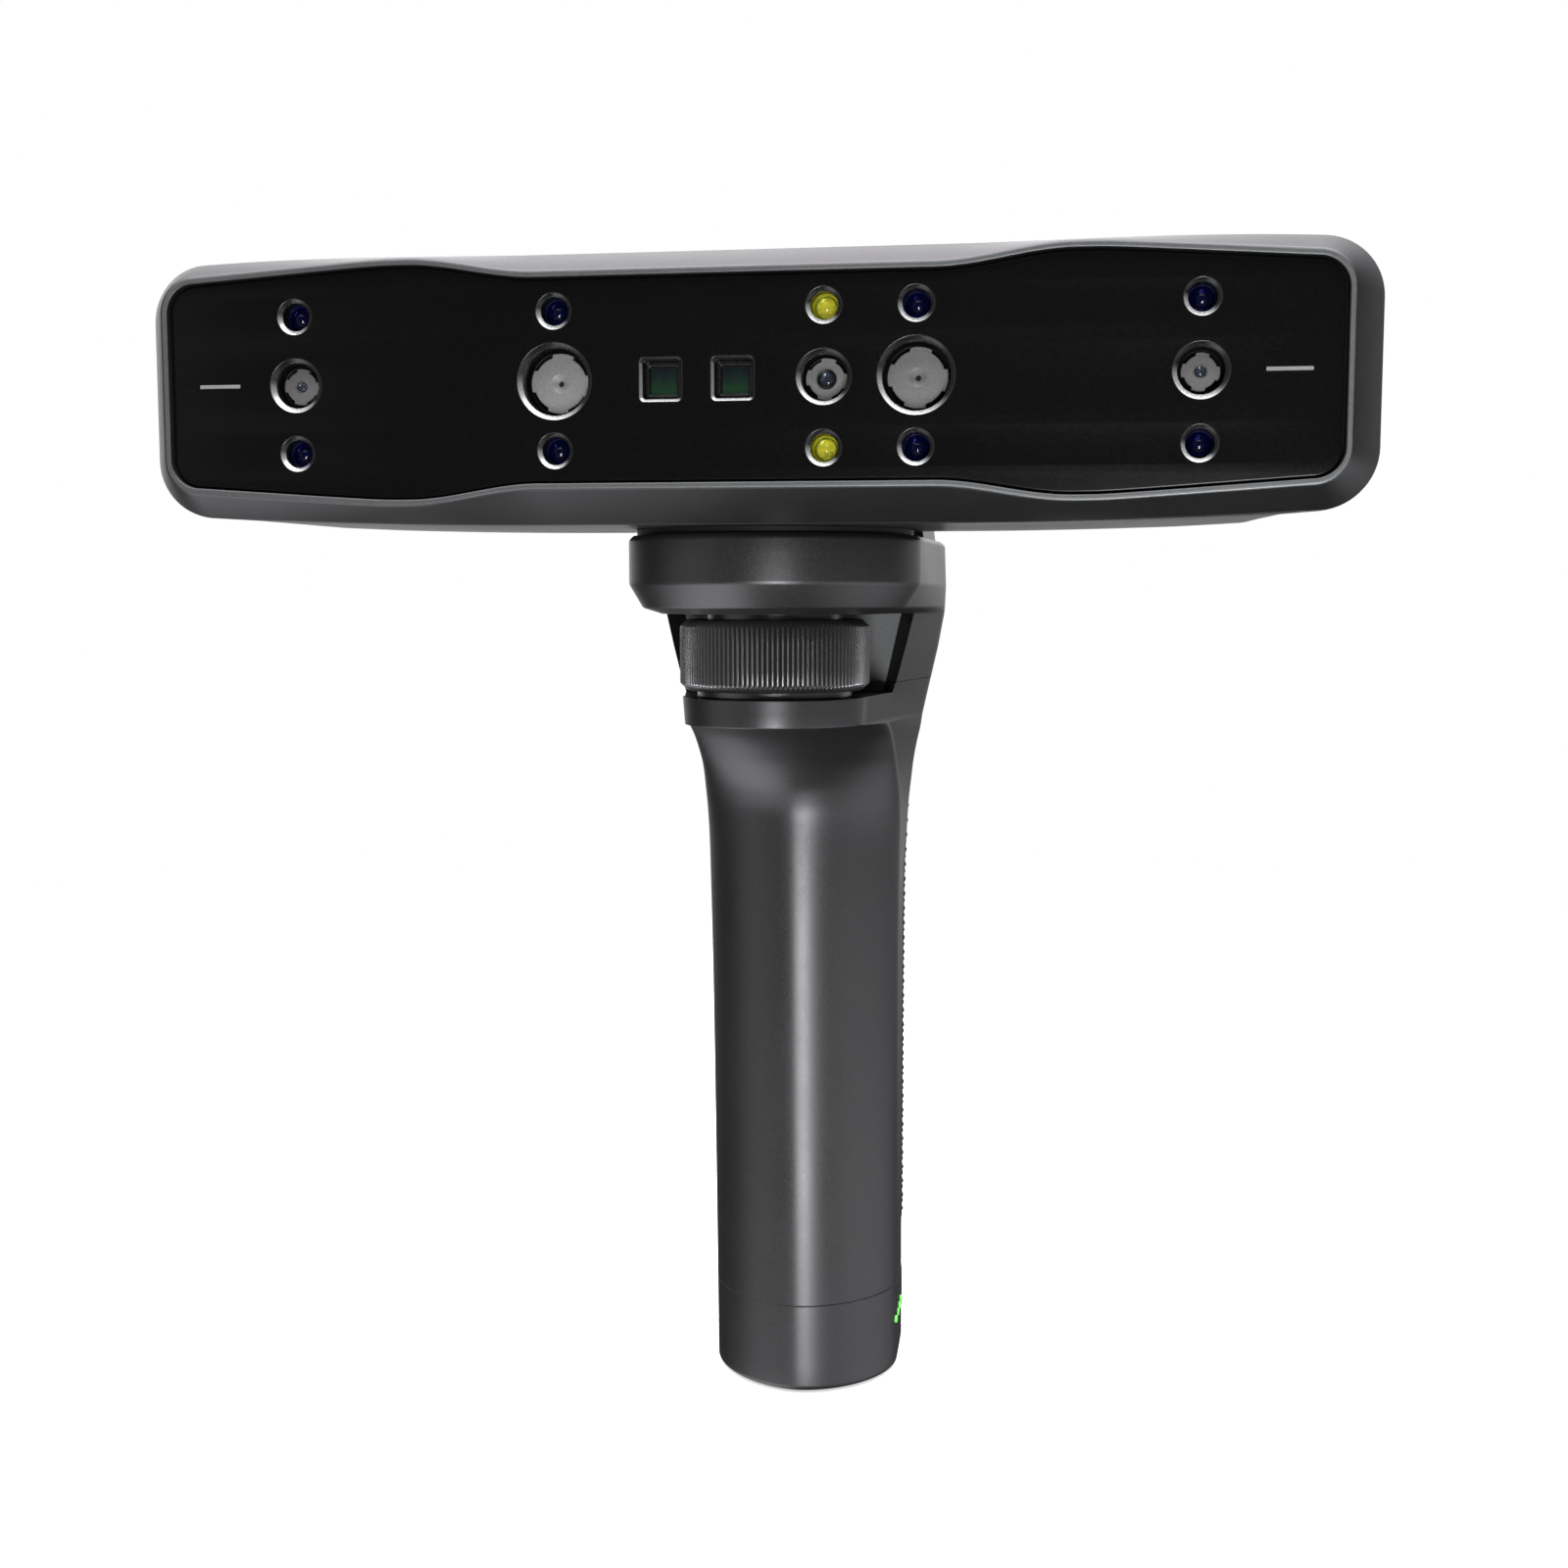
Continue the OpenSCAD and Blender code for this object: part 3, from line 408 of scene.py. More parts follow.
def chamfer_material():
    """Polished step of a recess with a painted highlight: its colour and metalness are bright
    where it faces up and towards +x and near black elsewhere, standing in for the reflection of
    the light overhead.
    """
    g = Paint("recess_step_painted_highlight")
    normal = g.node("NewGeometry").outputs["Normal"]
    # painted highlight: how far the step faces up and towards +x sets how light and how metallic
    # it is
    facing = g.node("VectorMath", normal, (0.42, -0.2, 0.88), operation="DOT_PRODUCT")
    lit = g.ramp(facing.outputs["Value"], over=(0.22, 0.85))
    fine = g.ramp(g.noise(g.position, scale=3200, detail=3.0), over=(0.3, 0.7), to=(0.0, 0.15))
    col = g.mix(lit, (0.010, 0.010, 0.0105, 1), (0.80, 0.80, 0.81, 1))
    rough = g.ramp(g.noise(g.position, scale=2400), over=(0.3, 0.7), to=(0.24, 0.32))
    g.set(Base_Color=g.mix(fine, col, (0.02, 0.02, 0.021, 1)),
          Metallic=g.math("MULTIPLY", lit, 0.6), Roughness=rough)
    return g.material


def dome_glass(name, tint, weight=0.92, rough=0.03):
    """Coloured lens that transmits, and lets lamp light straight through."""
    g = Paint(name)
    fine = g.noise(g.position, scale=900)
    g.set(Base_Color=g.mix(g.ramp(fine, over=(0.3, 0.7)), tint, scaled(tint, 0.85)),
          Roughness=g.ramp(fine, over=(0.3, 0.7), to=(rough, rough + 0.03)),
          Transmission_Weight=weight, IOR=1.45)
    clear = g.node("BsdfTransparent", tuple(min(1, c ** 0.5) for c in tint[:3]) + (1,))
    shadow = g.node("LightPath").outputs["Is Shadow Ray"]
    g.put(g.output, 0, g.mix_shader(shadow, g.shader, clear))
    return g.material


def lamp_inside(name, color, second, glow):
    """Reflector or emitter inside a lamp: two mottled shades, with a faint painted glow that lifts
    it out of the shade of its recess.
    """
    g = Paint(name)
    fine = g.noise(g.position, scale=1600, detail=3.0)
    g.set(Base_Color=g.mix(g.ramp(fine, over=(0.35, 0.65)), color, second),
          Roughness=g.ramp(fine, over=(0.3, 0.7), to=(0.3, 0.45)),
          Emission_Color=color, Emission_Strength=glow,
          Normal=g.bump(fine, strength=0.2, distance=0.00005).outputs[0])
    return g.material


def window_material():
    """Coated filter glass: blue-grey above, green below, with a faint painted glow."""
    g = Paint("filter_glass")
    height = g.node("SeparateXYZ", g.position).outputs[2]
    z = g.math("MULTIPLY", g.math("SUBTRACT", height, ROW_HEIGHT * MM), 1000.0)
    uneven = g.ramp(g.noise(g.position, scale=700, detail=3.0), over=(0.3, 0.7),
                    to=(-0.12, 0.12))
    upper = g.math("ADD", g.ramp(z, over=(-2.3, 2.3)), uneven, clamp=True)
    col = g.mix(upper, srgb("#1f3d29"), srgb("#191f27"))
    rough = g.ramp(g.noise(g.position, scale=1400), over=(0.3, 0.7), to=(0.06, 0.12))
    # the emission is a painted glow; the window is no lamp
    g.set(Base_Color=col, Roughness=rough, Specular_IOR_Level=0.6, Coat_Weight=0.6,
          Emission_Color=col, Emission_Strength=0.12)
    return g.material


def green_lamp_material():
    """Glowing green, deeper towards the edges."""
    g = Paint("lamp_green")
    facing = g.node("LayerWeight").outputs["Facing"]
    col = g.mix(g.ramp(facing, over=(0.2, 0.9)), (0.13, 0.78, 0.08, 1), (0.05, 0.5, 0.04, 1))
    fine = g.noise(g.position, scale=3000)
    col = g.mix(g.ramp(fine, over=(0.3, 0.7), to=(0.0, 0.12)), col, (0.3, 0.9, 0.2, 1))
    g.set(Base_Color=col, Roughness=g.ramp(fine, over=(0.3, 0.7), to=(0.28, 0.4)),
          Emission_Color=col, Emission_Strength=1.0)
    return g.material


HOUSING = surface("housing_satin", color=(0.098, 0.099, 0.102), rough=0.38, metallic=0.88,
                  grain=3000, bump=0.10, vary=0.10, rough_vary=0.045, edge=0.00028,
                  tint=(0.104, 0.096, 0.104, 1))
# painted light: a lighter, less metallic copy of the housing for the wall behind the wheel,
# standing in for the light that falls on it
LIT_WALL = surface("inner_wall_painted_light", color=(0.24, 0.25, 0.255), rough=0.5, metallic=0.3, grain=3000,
                bump=0.08, vary=0.08, edge=0)
RIM = surface("rim_satin", color=(0.20, 0.21, 0.214), rough=0.42, metallic=0.82, grain=3000,
              bump=0.04, vary=0.05, rough_vary=0.03, edge=0)
PANEL = surface("panel_black", color=(0.0034, 0.0034, 0.0035), rough=0.20, grain=3400,
                bump=0.015, vary=0.25, rough_vary=0.02, edge=0.00008, spec=0.34,
                tint=(0.004, 0.004, 0.0042, 1))
RECESS = surface("recess_black", color=(0.007, 0.007, 0.0073), rough=0.30, grain=3400,
                 bump=0.04, vary=0.15, rough_vary=0.04, edge=0, spec=0.7)
RUBBER = surface("rubber_black", color=(0.008, 0.008, 0.0082), rough=0.62, grain=1800,
                 bump=0.25, vary=0.2, rough_vary=0.06, edge=0.0002, spec=0.35)
INK = surface("mark_grey", color=(0.27, 0.27, 0.272), rough=0.5, bump=0.05, vary=0.08, edge=0)
STEEL = surface("screw_steel", color=(0.42, 0.42, 0.43), rough=0.32, metallic=1.0, grain=2200,
                edge=0.0001)
BENCH = surface("bench_alloy", color=(0.50, 0.51, 0.53), rough=0.38, metallic=1.0, grain=1500,
                bump=0.08, vary=0.1, edge=0.0002, stretch=(0.08, 1, 1))
BARREL = surface("barrel_black", color=(0.02, 0.02, 0.021), rough=0.34, metallic=0.6,
                 bump=0.05, vary=0.15, edge=0)
DARK = surface("dark_plastic", color=(0.016, 0.016, 0.0168), rough=0.42, grain=2200,
               bump=0.15, vary=0.2, edge=0.0002)
KEY = surface("key_plastic", color=(0.035, 0.036, 0.039), rough=0.36, bump=0.08, edge=0.0002,
              coat=0.15)
KEYPAD = surface("keypad_black", color=(0.009, 0.009, 0.0095), rough=0.38, grain=3000,
                 bump=0.08, vary=0.2, edge=0.0002)
LEGEND = surface("legend_grey", color=(0.42, 0.43, 0.44), rough=0.45, bump=0.05, vary=0.06,
                 edge=0)
WHEEL = surface("wheel_metal", color=(0.20, 0.202, 0.208), rough=0.30, metallic=0.9,
                bump=0.03, vary=0.05, rough_vary=0.04, edge=0)
GRIP_RUBBER = surface("grip_rubber", color=(0.011, 0.011, 0.0115), rough=0.6, grain=2200,
                      bump=0.3, vary=0.2, rough_vary=0.07, edge=0.0001, spec=0.35)
GOLD = surface("contact_gold", color=(0.72, 0.52, 0.2), rough=0.25, metallic=1.0, grain=2200,
               bump=0.04, vary=0.08, edge=0)
BRASS = surface("insert_brass", color=(0.56, 0.41, 0.17), rough=0.3, metallic=1.0, grain=1800,
                bump=0.08, edge=0.0001)
WIRE = surface("wire_red", color=(0.25, 0.012, 0.01), rough=0.45, grain=1500, bump=0.1, edge=0)
CELL = surface("cell_wrap", color=(0.04, 0.13, 0.36), rough=0.3, grain=900, bump=0.05,
               vary=0.1, edge=0, coat=0.3)
BOARD = board_material()
CHAMFER = chamfer_material()
BLUE_DOME = dome_glass("dome_blue", tint=(0.03, 0.035, 0.22, 1))
YELLOW_DOME = dome_glass("dome_clear", tint=(0.86, 0.85, 0.34, 1))
LENS_GLASS = dome_glass("lens_glass", tint=(0.55, 0.62, 0.78, 1), weight=0.95, rough=0.02)
# the glow values below are a painted glow on the lamp cups and dies
BLUE_CUP = lamp_inside("cup_blue", color=(0.010, 0.011, 0.085, 1),
                       second=(0.006, 0.007, 0.05, 1), glow=0.03)
BLUE_DIE = lamp_inside("die_blue", color=(0.035, 0.04, 0.22, 1),
                       second=(0.022, 0.025, 0.14, 1), glow=0.05)
YELLOW_CUP = lamp_inside("cup_yellow", color=(0.46, 0.45, 0.02, 1),
                         second=(0.34, 0.33, 0.012, 1), glow=0.10)
YELLOW_DIE = lamp_inside("die_yellow", color=(0.60, 0.58, 0.05, 1),
                         second=(0.5, 0.48, 0.04, 1), glow=0.14)
WINDOW = window_material()
GREEN = green_lamp_material()

# ------------------------------------------------------------------ outlines of the head
RIM_HALF_WIDTH, RIM_CORNER = 98.4, 6
FLARE_HALF_WIDTH, FLARE_CORNER = 103.9, 10
RIM_SHOULDER = 57.5  # where the rim is tallest, from the centre plane
TOP_STEPS, CORNER_STEPS, SIDE_STEPS = 96, 16, 8  # points along a quarter of an outline


def rim_half_height(x):
    """Half height of the front rim: waisted at the centre, easing down past the shoulder."""
    a = abs(x)
    if a < RIM_SHOULDER:
        return 17.9 + 2.5 * step01((a - 33) / 22)
    past = a - RIM_SHOULDER
    return 20.4 - 0.0684 * (past - 3 * (1 - math.exp(-past / 3)))


def flare_half_height(x):
    return 23.1 - 1.3 * max(0.0, (abs(x) - 36) / 58) ** 2


def flare_y(x):
    """The flare's edge comes forward towards the sides."""
    return 14 - 6.1 * step01((abs(x) - 36) / 54)


def outline(half_height, width, inset, corner):
    """Closed (x, z) outline of half width width, with its height inset on each side."""
    mid_x = width - corner
    mid_z = half_height(mid_x) - inset - corner
    quarter = []
    for i in range(TOP_STEPS + 1):
        x = mid_x * i / TOP_STEPS
        quarter.append((x, half_height(x) - inset))
    for j in range(1, CORNER_STEPS + 1):
        a = math.radians(90 - 90 * j / CORNER_STEPS)
        quarter.append((mid_x + corner * math.cos(a), mid_z + corner * math.sin(a)))
    quarter += [(width, mid_z * (1 - k / SIDE_STEPS)) for k in range(1, SIDE_STEPS)]
    rest = quarter[1:]
    points = quarter + [(width, 0.0)] + [(x, -z) for x, z in rest[::-1]]
    points += [(0.0, -quarter[0][1])] + [(-x, -z) for x, z in rest]
    points += [(-width, 0.0)] + [(-x, z) for x, z in rest[::-1]]
    return np.array(points)


def rim_ring(inset, y, corner=None):
    corner = RIM_CORNER - inset if corner is None else corner
    shape = outline(rim_half_height, RIM_HALF_WIDTH - inset, inset, corner)
    return np.array([(x, y, z) for x, z in shape])


def flare_ring(inset):
    shape = outline(flare_half_height, FLARE_HALF_WIDTH - inset, inset, FLARE_CORNER - inset)
    return np.array([(x, flare_y(x), z) for x, z in shape])


# ------------------------------------------------------------------ front frame of the head
def front_frame():
    """Flaring frame with a ledge for the front plate."""
    front = -1
    rings = [rim_ring(1.1, front), rim_ring(1.1, 2.4), rim_ring(3.2, 2.4, corner=3.3),
             rim_ring(3.2, 5.6, corner=3.3), rim_ring(1.2, 5.6),
             flare_ring(2.2), flare_ring(0), rim_ring(0, front)]
    b = Build()
    b.loft(rounded(rings, [0.22, 0, 0, 0, 0, 0.3, 0.45, 0.4], loop=True), loop=True)
    ob = make("front_frame_shell", b, "head", [HOUSING, RIM], "front_frame", angle=40)
    # the flat band at the front takes the lighter finish
    for poly in ob.data.polygons:
        if poly.center.y < (front - FRONT_Y + 0.02) * MM and abs(poly.normal.y) > 0.9:
            poly.material_index = 1


# ------------------------------------------------------------------ rear shell of the head
HEAD_DEPTH = 65.0
SHELL_WALL = 2.2
SHELL_ANGLE = 26
BACK_BEND_X = 75  # the crowned back bends forward outside this
# The back's (x, y) from the bend out to the side
BACK_SIDE = np.array([(BACK_BEND_X, 61.0), (89.6, 53.6), (92.4, 51.0), (93.6, 47.5)])
# Rear edge: half width, height inset, corner radius, y at the sides, and how far the top
# and bottom edges lie ahead of the back
REAR_LEVELS = (
    (93.6, 0.0, 9.0, 47.5, 7.5), (92.4, 0.9, 8.5, 51.0, 5.4), (89.6, 3.0, 8.0, 53.6, 3.0),
    (84.5, 6.0, 7.0, 56.2, 1.0), (79.5, 10.1, 6.0, 58.8, 0.0),
)
KEYPAD_Z, KEYPAD_HALF_X = -3.0, 27.0
PORT_X, PORT_Z = 64.0, 3.0
PORT_RECESS_X = PORT_X - 0.8
FAN_X, FAN_Z, FAN_PITCH = 43.0, 3.0, 3
SCREW_X, SCREW_Z = 87, 12.6


def back_y(x):
    """Back of the head by distance from the centre plane."""
    a = abs(x)
    if a <= BACK_BEND_X:
        return HEAD_DEPTH - 4 * (a / BACK_BEND_X) ** 2
    return np.interp(a, BACK_SIDE[:, 0], BACK_SIDE[:, 1])


def rear_rings(inset):
    """Rings of the rear shell from front to back, inset for its inner wall."""

    def ring(width, lower, corner, y_at):
        shape = outline(flare_half_height, width - inset, lower + inset,
                        max(corner - inset, 1.5))
        return np.array([(x, y_at(x), z) for x, z in shape])

    if inset:
        # the hollow runs out past the open front
        rings = [ring(97.3, 0, 10, lambda x: 3.0)]
    else:
        rings = [ring(FLARE_HALF_WIDTH, 0, FLARE_CORNER, lambda x: flare_y(x) + 0.15)]
    rings.append(ring(97.3, 0, 9.6, lambda x: 14.6 + 2.0 * step01((90 - abs(x)) / 30)))
    rings.append(ring(94.9, 0, 9.3, lambda x: 34.0))
    for width, lower, corner, side_y, ahead in REAR_LEVELS:

        def y_at(x):
            back = back_y(x)
            middle = step01((width - inset - abs(x)) / 9.0)
            return (1 - middle) * min(side_y, back) + middle * (back - ahead) - inset

        rings.append(ring(width, lower, corner, y_at))
    return rings


def rear_solid(inset):
    b = Build()
    rings = rear_rings(inset)
    front = rings[0] * (0.97, 1, 0.93)
    # a ring just inside the last, so that the last edge can be rounded too
    last = rings[-1] * (0.965, 1, 0.86)
    last[:, 1] = [back_y(x) - inset for x in last[:, 0]]
    radii = [0, 0 if inset else 0.35, 1.2, 0.0, 1.4, 1.2, 1.2, 1.0, 1.4, 0]
    ids = b.loft(rounded([front] + rings + [last], radii, 3))
    b.face(ids[0][::-1])
    # crowned back: upright strips from the centre out to each side
    edge = ids[-1]
    n = len(edge)
    for side in (1, -1):
        before = None
        for k in range(n // 4):
            top, bottom = edge[(side * k) % n], edge[(n // 2 - side * k) % n]
            x, y, z = b.points[top]
            drop = b.points[bottom][2] - z
            strip = [top] + b.ring([(x, y, z + drop * s / 6) for s in range(1, 6)]) + [bottom]
            if before:
                for s in range(6):
                    b.face((before[s], strip[s], strip[s + 1], before[s + 1]))
            before = strip
        tip = edge[(side * (n // 4)) % n]
        for s in range(6):
            b.face((before[s], tip, before[s + 1]))
    return b


def rear_shell():
    shell = make("rear_shell_body", rear_solid(0), "head", [HOUSING, PANEL],
                 "rear_shell", angle=SHELL_ANGLE)
    cut(shell, tool("rear_inner", rear_solid(SHELL_WALL)), angle=SHELL_ANGLE)
    b = Build()
    block(b, (0, KEYPAD_Z), (KEYPAD_HALF_X + 0.12, 7.72), 2.4, (50, 70))
    block(b, (PORT_RECESS_X, PORT_Z), (7.9, 3.6), 1.2, (60, 70))
    for s in (1, -1):
        for i in range(-3, 4):
            slot = (FAN_X * s, FAN_Z + FAN_PITCH * i)
            block(b, slot, (9.0, 0.7), 0.68, (54, 70), steps=5)
    for sx in (-1, 1):
        for sz in (-1, 1):
            turn(b, (sx * SCREW_X, sz * SCREW_Z), [(2.6, 47.2), (2.6, 60)], count=40)
    cut(shell, tool("rear_tool", b), angle=SHELL_ANGLE)


def port_floor():
    """Floor of the data port's recess, with the socket opening through it."""
    b = Build()
    ends = (57.4, 60.0)
    outer = [b.ring(rounded_rect((PORT_RECESS_X, PORT_Z), (8.0, 3.7), 1.2, y)) for y in ends]
    hole = [b.ring(rounded_rect((PORT_X, PORT_Z), (4.6, 1.7), 1.6, y)) for y in ends]
    b.bridge(outer[0], outer[1])
    b.bridge(hole[1], hole[0])
    b.flat(outer[1], [hole[1]])
    b.flat(outer[0], [hole[0]])
    make("port_recess_floor", b, "head", [HOUSING])


# ------------------------------------------------------------------ front plate
OUTER_X, INNER_X, COLOR_X = 75.0, 30.0, 15.0
LAMP_Z = 11.4
WINDOW_X = (-12.0, 0.0)
MARK_X = 88.55
PLATE_BACK = 2.0

# xs: places on the row. rim, bore: opening and bore radii of the hole in the plate, joined
# by a 45 degree step. recess: y of the cover plate. cover, notch: its radius and notch
# depth. hole, cone: radius of its hole, and of the turned cone round it, if any. rough,
# colors: its finish, one colour per place; where one part's colour differs between places,
# the difference is painted light and shade.
Lens = namedtuple("Lens", "name xs rim bore recess cover notch hole cone rough colors")
LENSES = (
    Lens("outer", (-OUTER_X, OUTER_X), rim=4.5, bore=3.75, recess=2.6, cover=3.1, notch=0.42,
         hole=0.95, cone=0, rough=0.45, colors=((0.19, 0.19, 0.192),) * 2),
    # the inner plate at -x is painted lighter than the one at +x: painted light and shade on one
    # part
    Lens("inner", (-INNER_X, INNER_X), rim=6.3, bore=5.6, recess=4.0, cover=5.0, notch=0.52,
         hole=0.46, cone=1.55, rough=0.42, colors=((0.37, 0.37, 0.372), (0.27, 0.27, 0.272))),
    Lens("color", (COLOR_X,), rim=4.5, bore=3.85, recess=4.0, cover=3.45, notch=0.45,
         hole=1.62, cone=0, rough=0.42, colors=((0.31, 0.31, 0.312),)),
)
BLUE_SPOTS = [(s * x, v * LAMP_Z) for s in (-1, 1) for v in (-1, 1) for x in (OUTER_X, INNER_X)]
YELLOW_SPOTS = [(COLOR_X, v * LAMP_Z) for v in (-1, 1)]
LAMP_RIM, LAMP_BORE, LAMP_RECESS = 2.96, 2.3, 2.1

# Window opening through the plate: half size, corner radius, y
WINDOW_HOLE = ((4.2, 1.4, 0), (3.55, 0.8, 0), (3.15, 0.6, 0.5), (3.15, 0.6, 3.6),
               (4.6, 1.4, 3.6), (4.6, 1.4, PLATE_BACK))


def plate_hole(b, rings, rounding, step_depth):
    """Stepped hole: material 2 on the step, 1 beyond. Returns its front and back rings."""
    rings = rounded(rings, [0, rounding, rounding, 0.05, 0.1, 0], 3)[1:]
    mats = [2 if 0.5 * (near[0][1] + far[0][1]) < step_depth + 0.02 else 1
            for near, far in zip(rings, rings[1:])]
    ids = b.loft(rings, mats)
    return ids[0], ids[-1]


def front_plate():
    b = Build()
    edge = [rim_ring(2.5, 0), rim_ring(1.5, 0), rim_ring(1.5, PLATE_BACK),
            rim_ring(2.5, PLATE_BACK)]
    edge_ids = b.loft(rounded(edge, [0, 0.28, 0.1, 0])[1:-1])
    rounds = [(x, 0, lens.rim, lens.bore, lens.recess) for lens in LENSES for x in lens.xs]
    rounds += [(x, z, LAMP_RIM, LAMP_BORE, LAMP_RECESS) for x, z in BLUE_SPOTS + YELLOW_SPOTS]
    holes = []
    for x, z, rim, bore, recess in rounds:
        profile = ((rim + 0.8, 0), (rim, 0), (bore, rim - bore), (bore, recess + 1),
                   (bore + 0.9, recess + 1), (bore + 0.9, PLATE_BACK))
        rings = [circle((x, y, z), radius, 96 if rim > 4 else 64) for radius, y in profile]
        holes.append(plate_hole(b, rings, 0.12, rim - bore))
    for x in WINDOW_X:
        holes.append(plate_hole(b, square_rings(x, WINDOW_HOLE), 0.14, 0.5))
    fronts = [front for front, _ in holes]
    # shallow slots for the index marks
    for s in (-1, 1):
        rings = [rounded_rect((MARK_X * s, 0), (3.66, 0.33), 0.1, y, 3) for y in (0, 0.3)]
        mouth, bottom = b.loft(rings)
        b.face(bottom)
        fronts.append(mouth)
    b.flat(edge_ids[0], fronts)
    b.flat(edge_ids[-1], [back for _, back in holes])
    make("front_plate", b, "head", [PANEL, RECESS, CHAMFER], "front_panel",
         angle=32, plane=True)


def front_seal():
    """Rubber seal round and behind the edge of the front plate."""
    b = Build()
    rings = [rim_ring(1.1, 1.1), rim_ring(1.1, 2.4), rim_ring(3.1, 2.4, corner=3.4),
             rim_ring(3.1, 2.02, corner=3.4), rim_ring(1.5, 2.02), rim_ring(1.5, 1.1)]
    b.loft(rounded(rings, [0.12, 0, 0, 0, 0, 0.12], 2, loop=True), loop=True)
    make("front_seal", b, "head", [RUBBER], "panel_gasket", angle=35)


def index_lines():
    b = Build()
    for s in (-1, 1):
        block(b, (MARK_X * s, 0), (3.62, 0.30), 0.1, (-0.03, 0.3), edges=(0.05, 0), steps=3)
    make("index_lines", b, "head", [INK], "index_marks", angle=40)


# ------------------------------------------------------------------ lenses
NOTCH_ANGLE, NOTCH_HALF_ANGLE = 39, 23  # degrees: first of four notches, and half its width

# Front elements: radius, y, corner rounding
GLASS_PROFILES = {
    "outer": [(0.0, 2.75), (0.45, 2.8, 0.2), (0.8, 2.98, 0.2), (0.94, 3.2, 0.1),
              (0.94, 3.7, 0.05), (0.0, 3.7)],
    "inner": [(0.0, 5.02), (0.8, 5.08, 0.2), (1.5, 5.3, 0.1), (1.5, 6.2, 0.05), (0.0, 6.2)],
    "color": [(0.0, 4.35), (0.5, 4.39, 0.2), (0.95, 4.55, 0.2), (1.18, 4.78, 0.1),
              (1.18, 6.2, 0.05), (0.0, 6.2)],
}
# Stops: x, inner radius, front y
STOPS = ((-OUTER_X, 0.55, 3.75), (OUTER_X, 0.55, 3.75), (-INNER_X, 0.5, 6.25),
         (INNER_X, 0.5, 6.25), (COLOR_X, 0.55, 6.25))


def notched(x, radius, notch, y, count=288):
    """Ring with four notches."""
    points = []
    for i in range(count):
        a = 360.0 * i / count
        away = min(abs((a - (NOTCH_ANGLE + 90 * k) + 180) % 360 - 180) for k in range(4))
        outside = min(1.0, max(0.0, (away - NOTCH_HALF_ANGLE) / 1.25 + 0.5))
        r = radius - notch * (1 - outside)
        points.append((x + r * math.cos(math.radians(a)), y, r * math.sin(math.radians(a))))
    return np.array(points)


def lens_covers(lens):
    """Notched cover plates with a bevelled rim and a central hole or a turned cone."""
    y, hole, cone = lens.recess, lens.hole, lens.cone
    if cone:
        profile = [(cone + 0.3, y), (cone, y, 0.08), (hole, y + 0.62, 0.04), (hole, y + 1.0)]
    else:
        profile = [(hole + 0.6, y), (hole + 0.22, y, 0.04), (hole + 0.1, y - 0.12, 0.04),
                   (hole, y - 0.02, 0.04), (hole, y + 1.0)]
    for i, (x, color) in enumerate(zip(lens.xs, lens.colors)):
        b = Build()
        rim = b.loft([notched(x, lens.cover - 0.10, lens.notch, y),
                      notched(x, lens.cover, lens.notch, y + 0.10),
                      notched(x, lens.cover, lens.notch, y + 1.0)])
        bore = b.loft(turned_rings((x, 0), profile, count=96, steps=3)[1:])
        b.flat(rim[0], [bore[0]])
        b.flat(rim[-1], [bore[-1]])
        metal = turned_metal(f"lens_plate_{abs(int(x))}_{'a' if x < 0 else 'b'}", color=color,
                             rough=lens.rough, centre=(x * MM, 0, ROW_HEIGHT * MM))
        node = None if i else f"{lens.name}_lens_ring" + plural(lens)
        make(f"{lens.name}_lens_plate_{i + 1}", b, "head", [metal], node,
             angle=32, plane=True)


def plural(lens):
    return "s" if len(lens.xs) > 1 else ""


def barrels(lens):
    """Stepped tubes behind the cover plates."""
    b = Build()
    y, bore = lens.recess, lens.bore
    for x in lens.xs:
        profile = [(bore, y + 0.9), (bore, y + 1.05), (bore + 0.9, y + 1.05, 0.1),
                   (bore + 0.9, 14, 0.3), (bore - 0.6, 14, 0.2), (bore - 0.6, 20, 0.3),
                   (1.9, 20, 0.2), (1.9, y + 1.6, 0.1), (bore - 1.0, y + 1.3, 0.1),
                   (bore - 0.35, y + 0.7, 0.1)]
        turn(b, (x, 0), profile, count=72, loop=True)
    make(lens.name + "_barrel", b, "head", [BARREL],
         f"{lens.name}_lens_barrel" + plural(lens), angle=32)


def lens_glass(lens):
    """Domed front elements behind the cover plates."""
    b = Build()
    for x in lens.xs:
        turn(b, (x, 0), GLASS_PROFILES[lens.name], count=48)
    make(lens.name + "_glass", b, "head", [LENS_GLASS], lens.name + "_lens_glass",
         angle=40)


def lens_stops():
    """Stop rings inside the barrels, and a ring round the colour lens."""
    b = Build()
    for x, hole, y in STOPS:
        profile = [(hole, y, 0.04), (1.8, y), (1.8, y + 0.5), (hole + 0.15, y + 0.5, 0.04)]
        turn(b, (x, 0), profile, count=48, loop=True)
    turn(b, (COLOR_X, 0), [(1.2, 4.25, 0.05), (1.58, 4.12, 0.08), (1.58, 4.95), (1.2, 4.95)],
         loop=True)
    make("lens_stops", b, "head", [BARREL], angle=35)


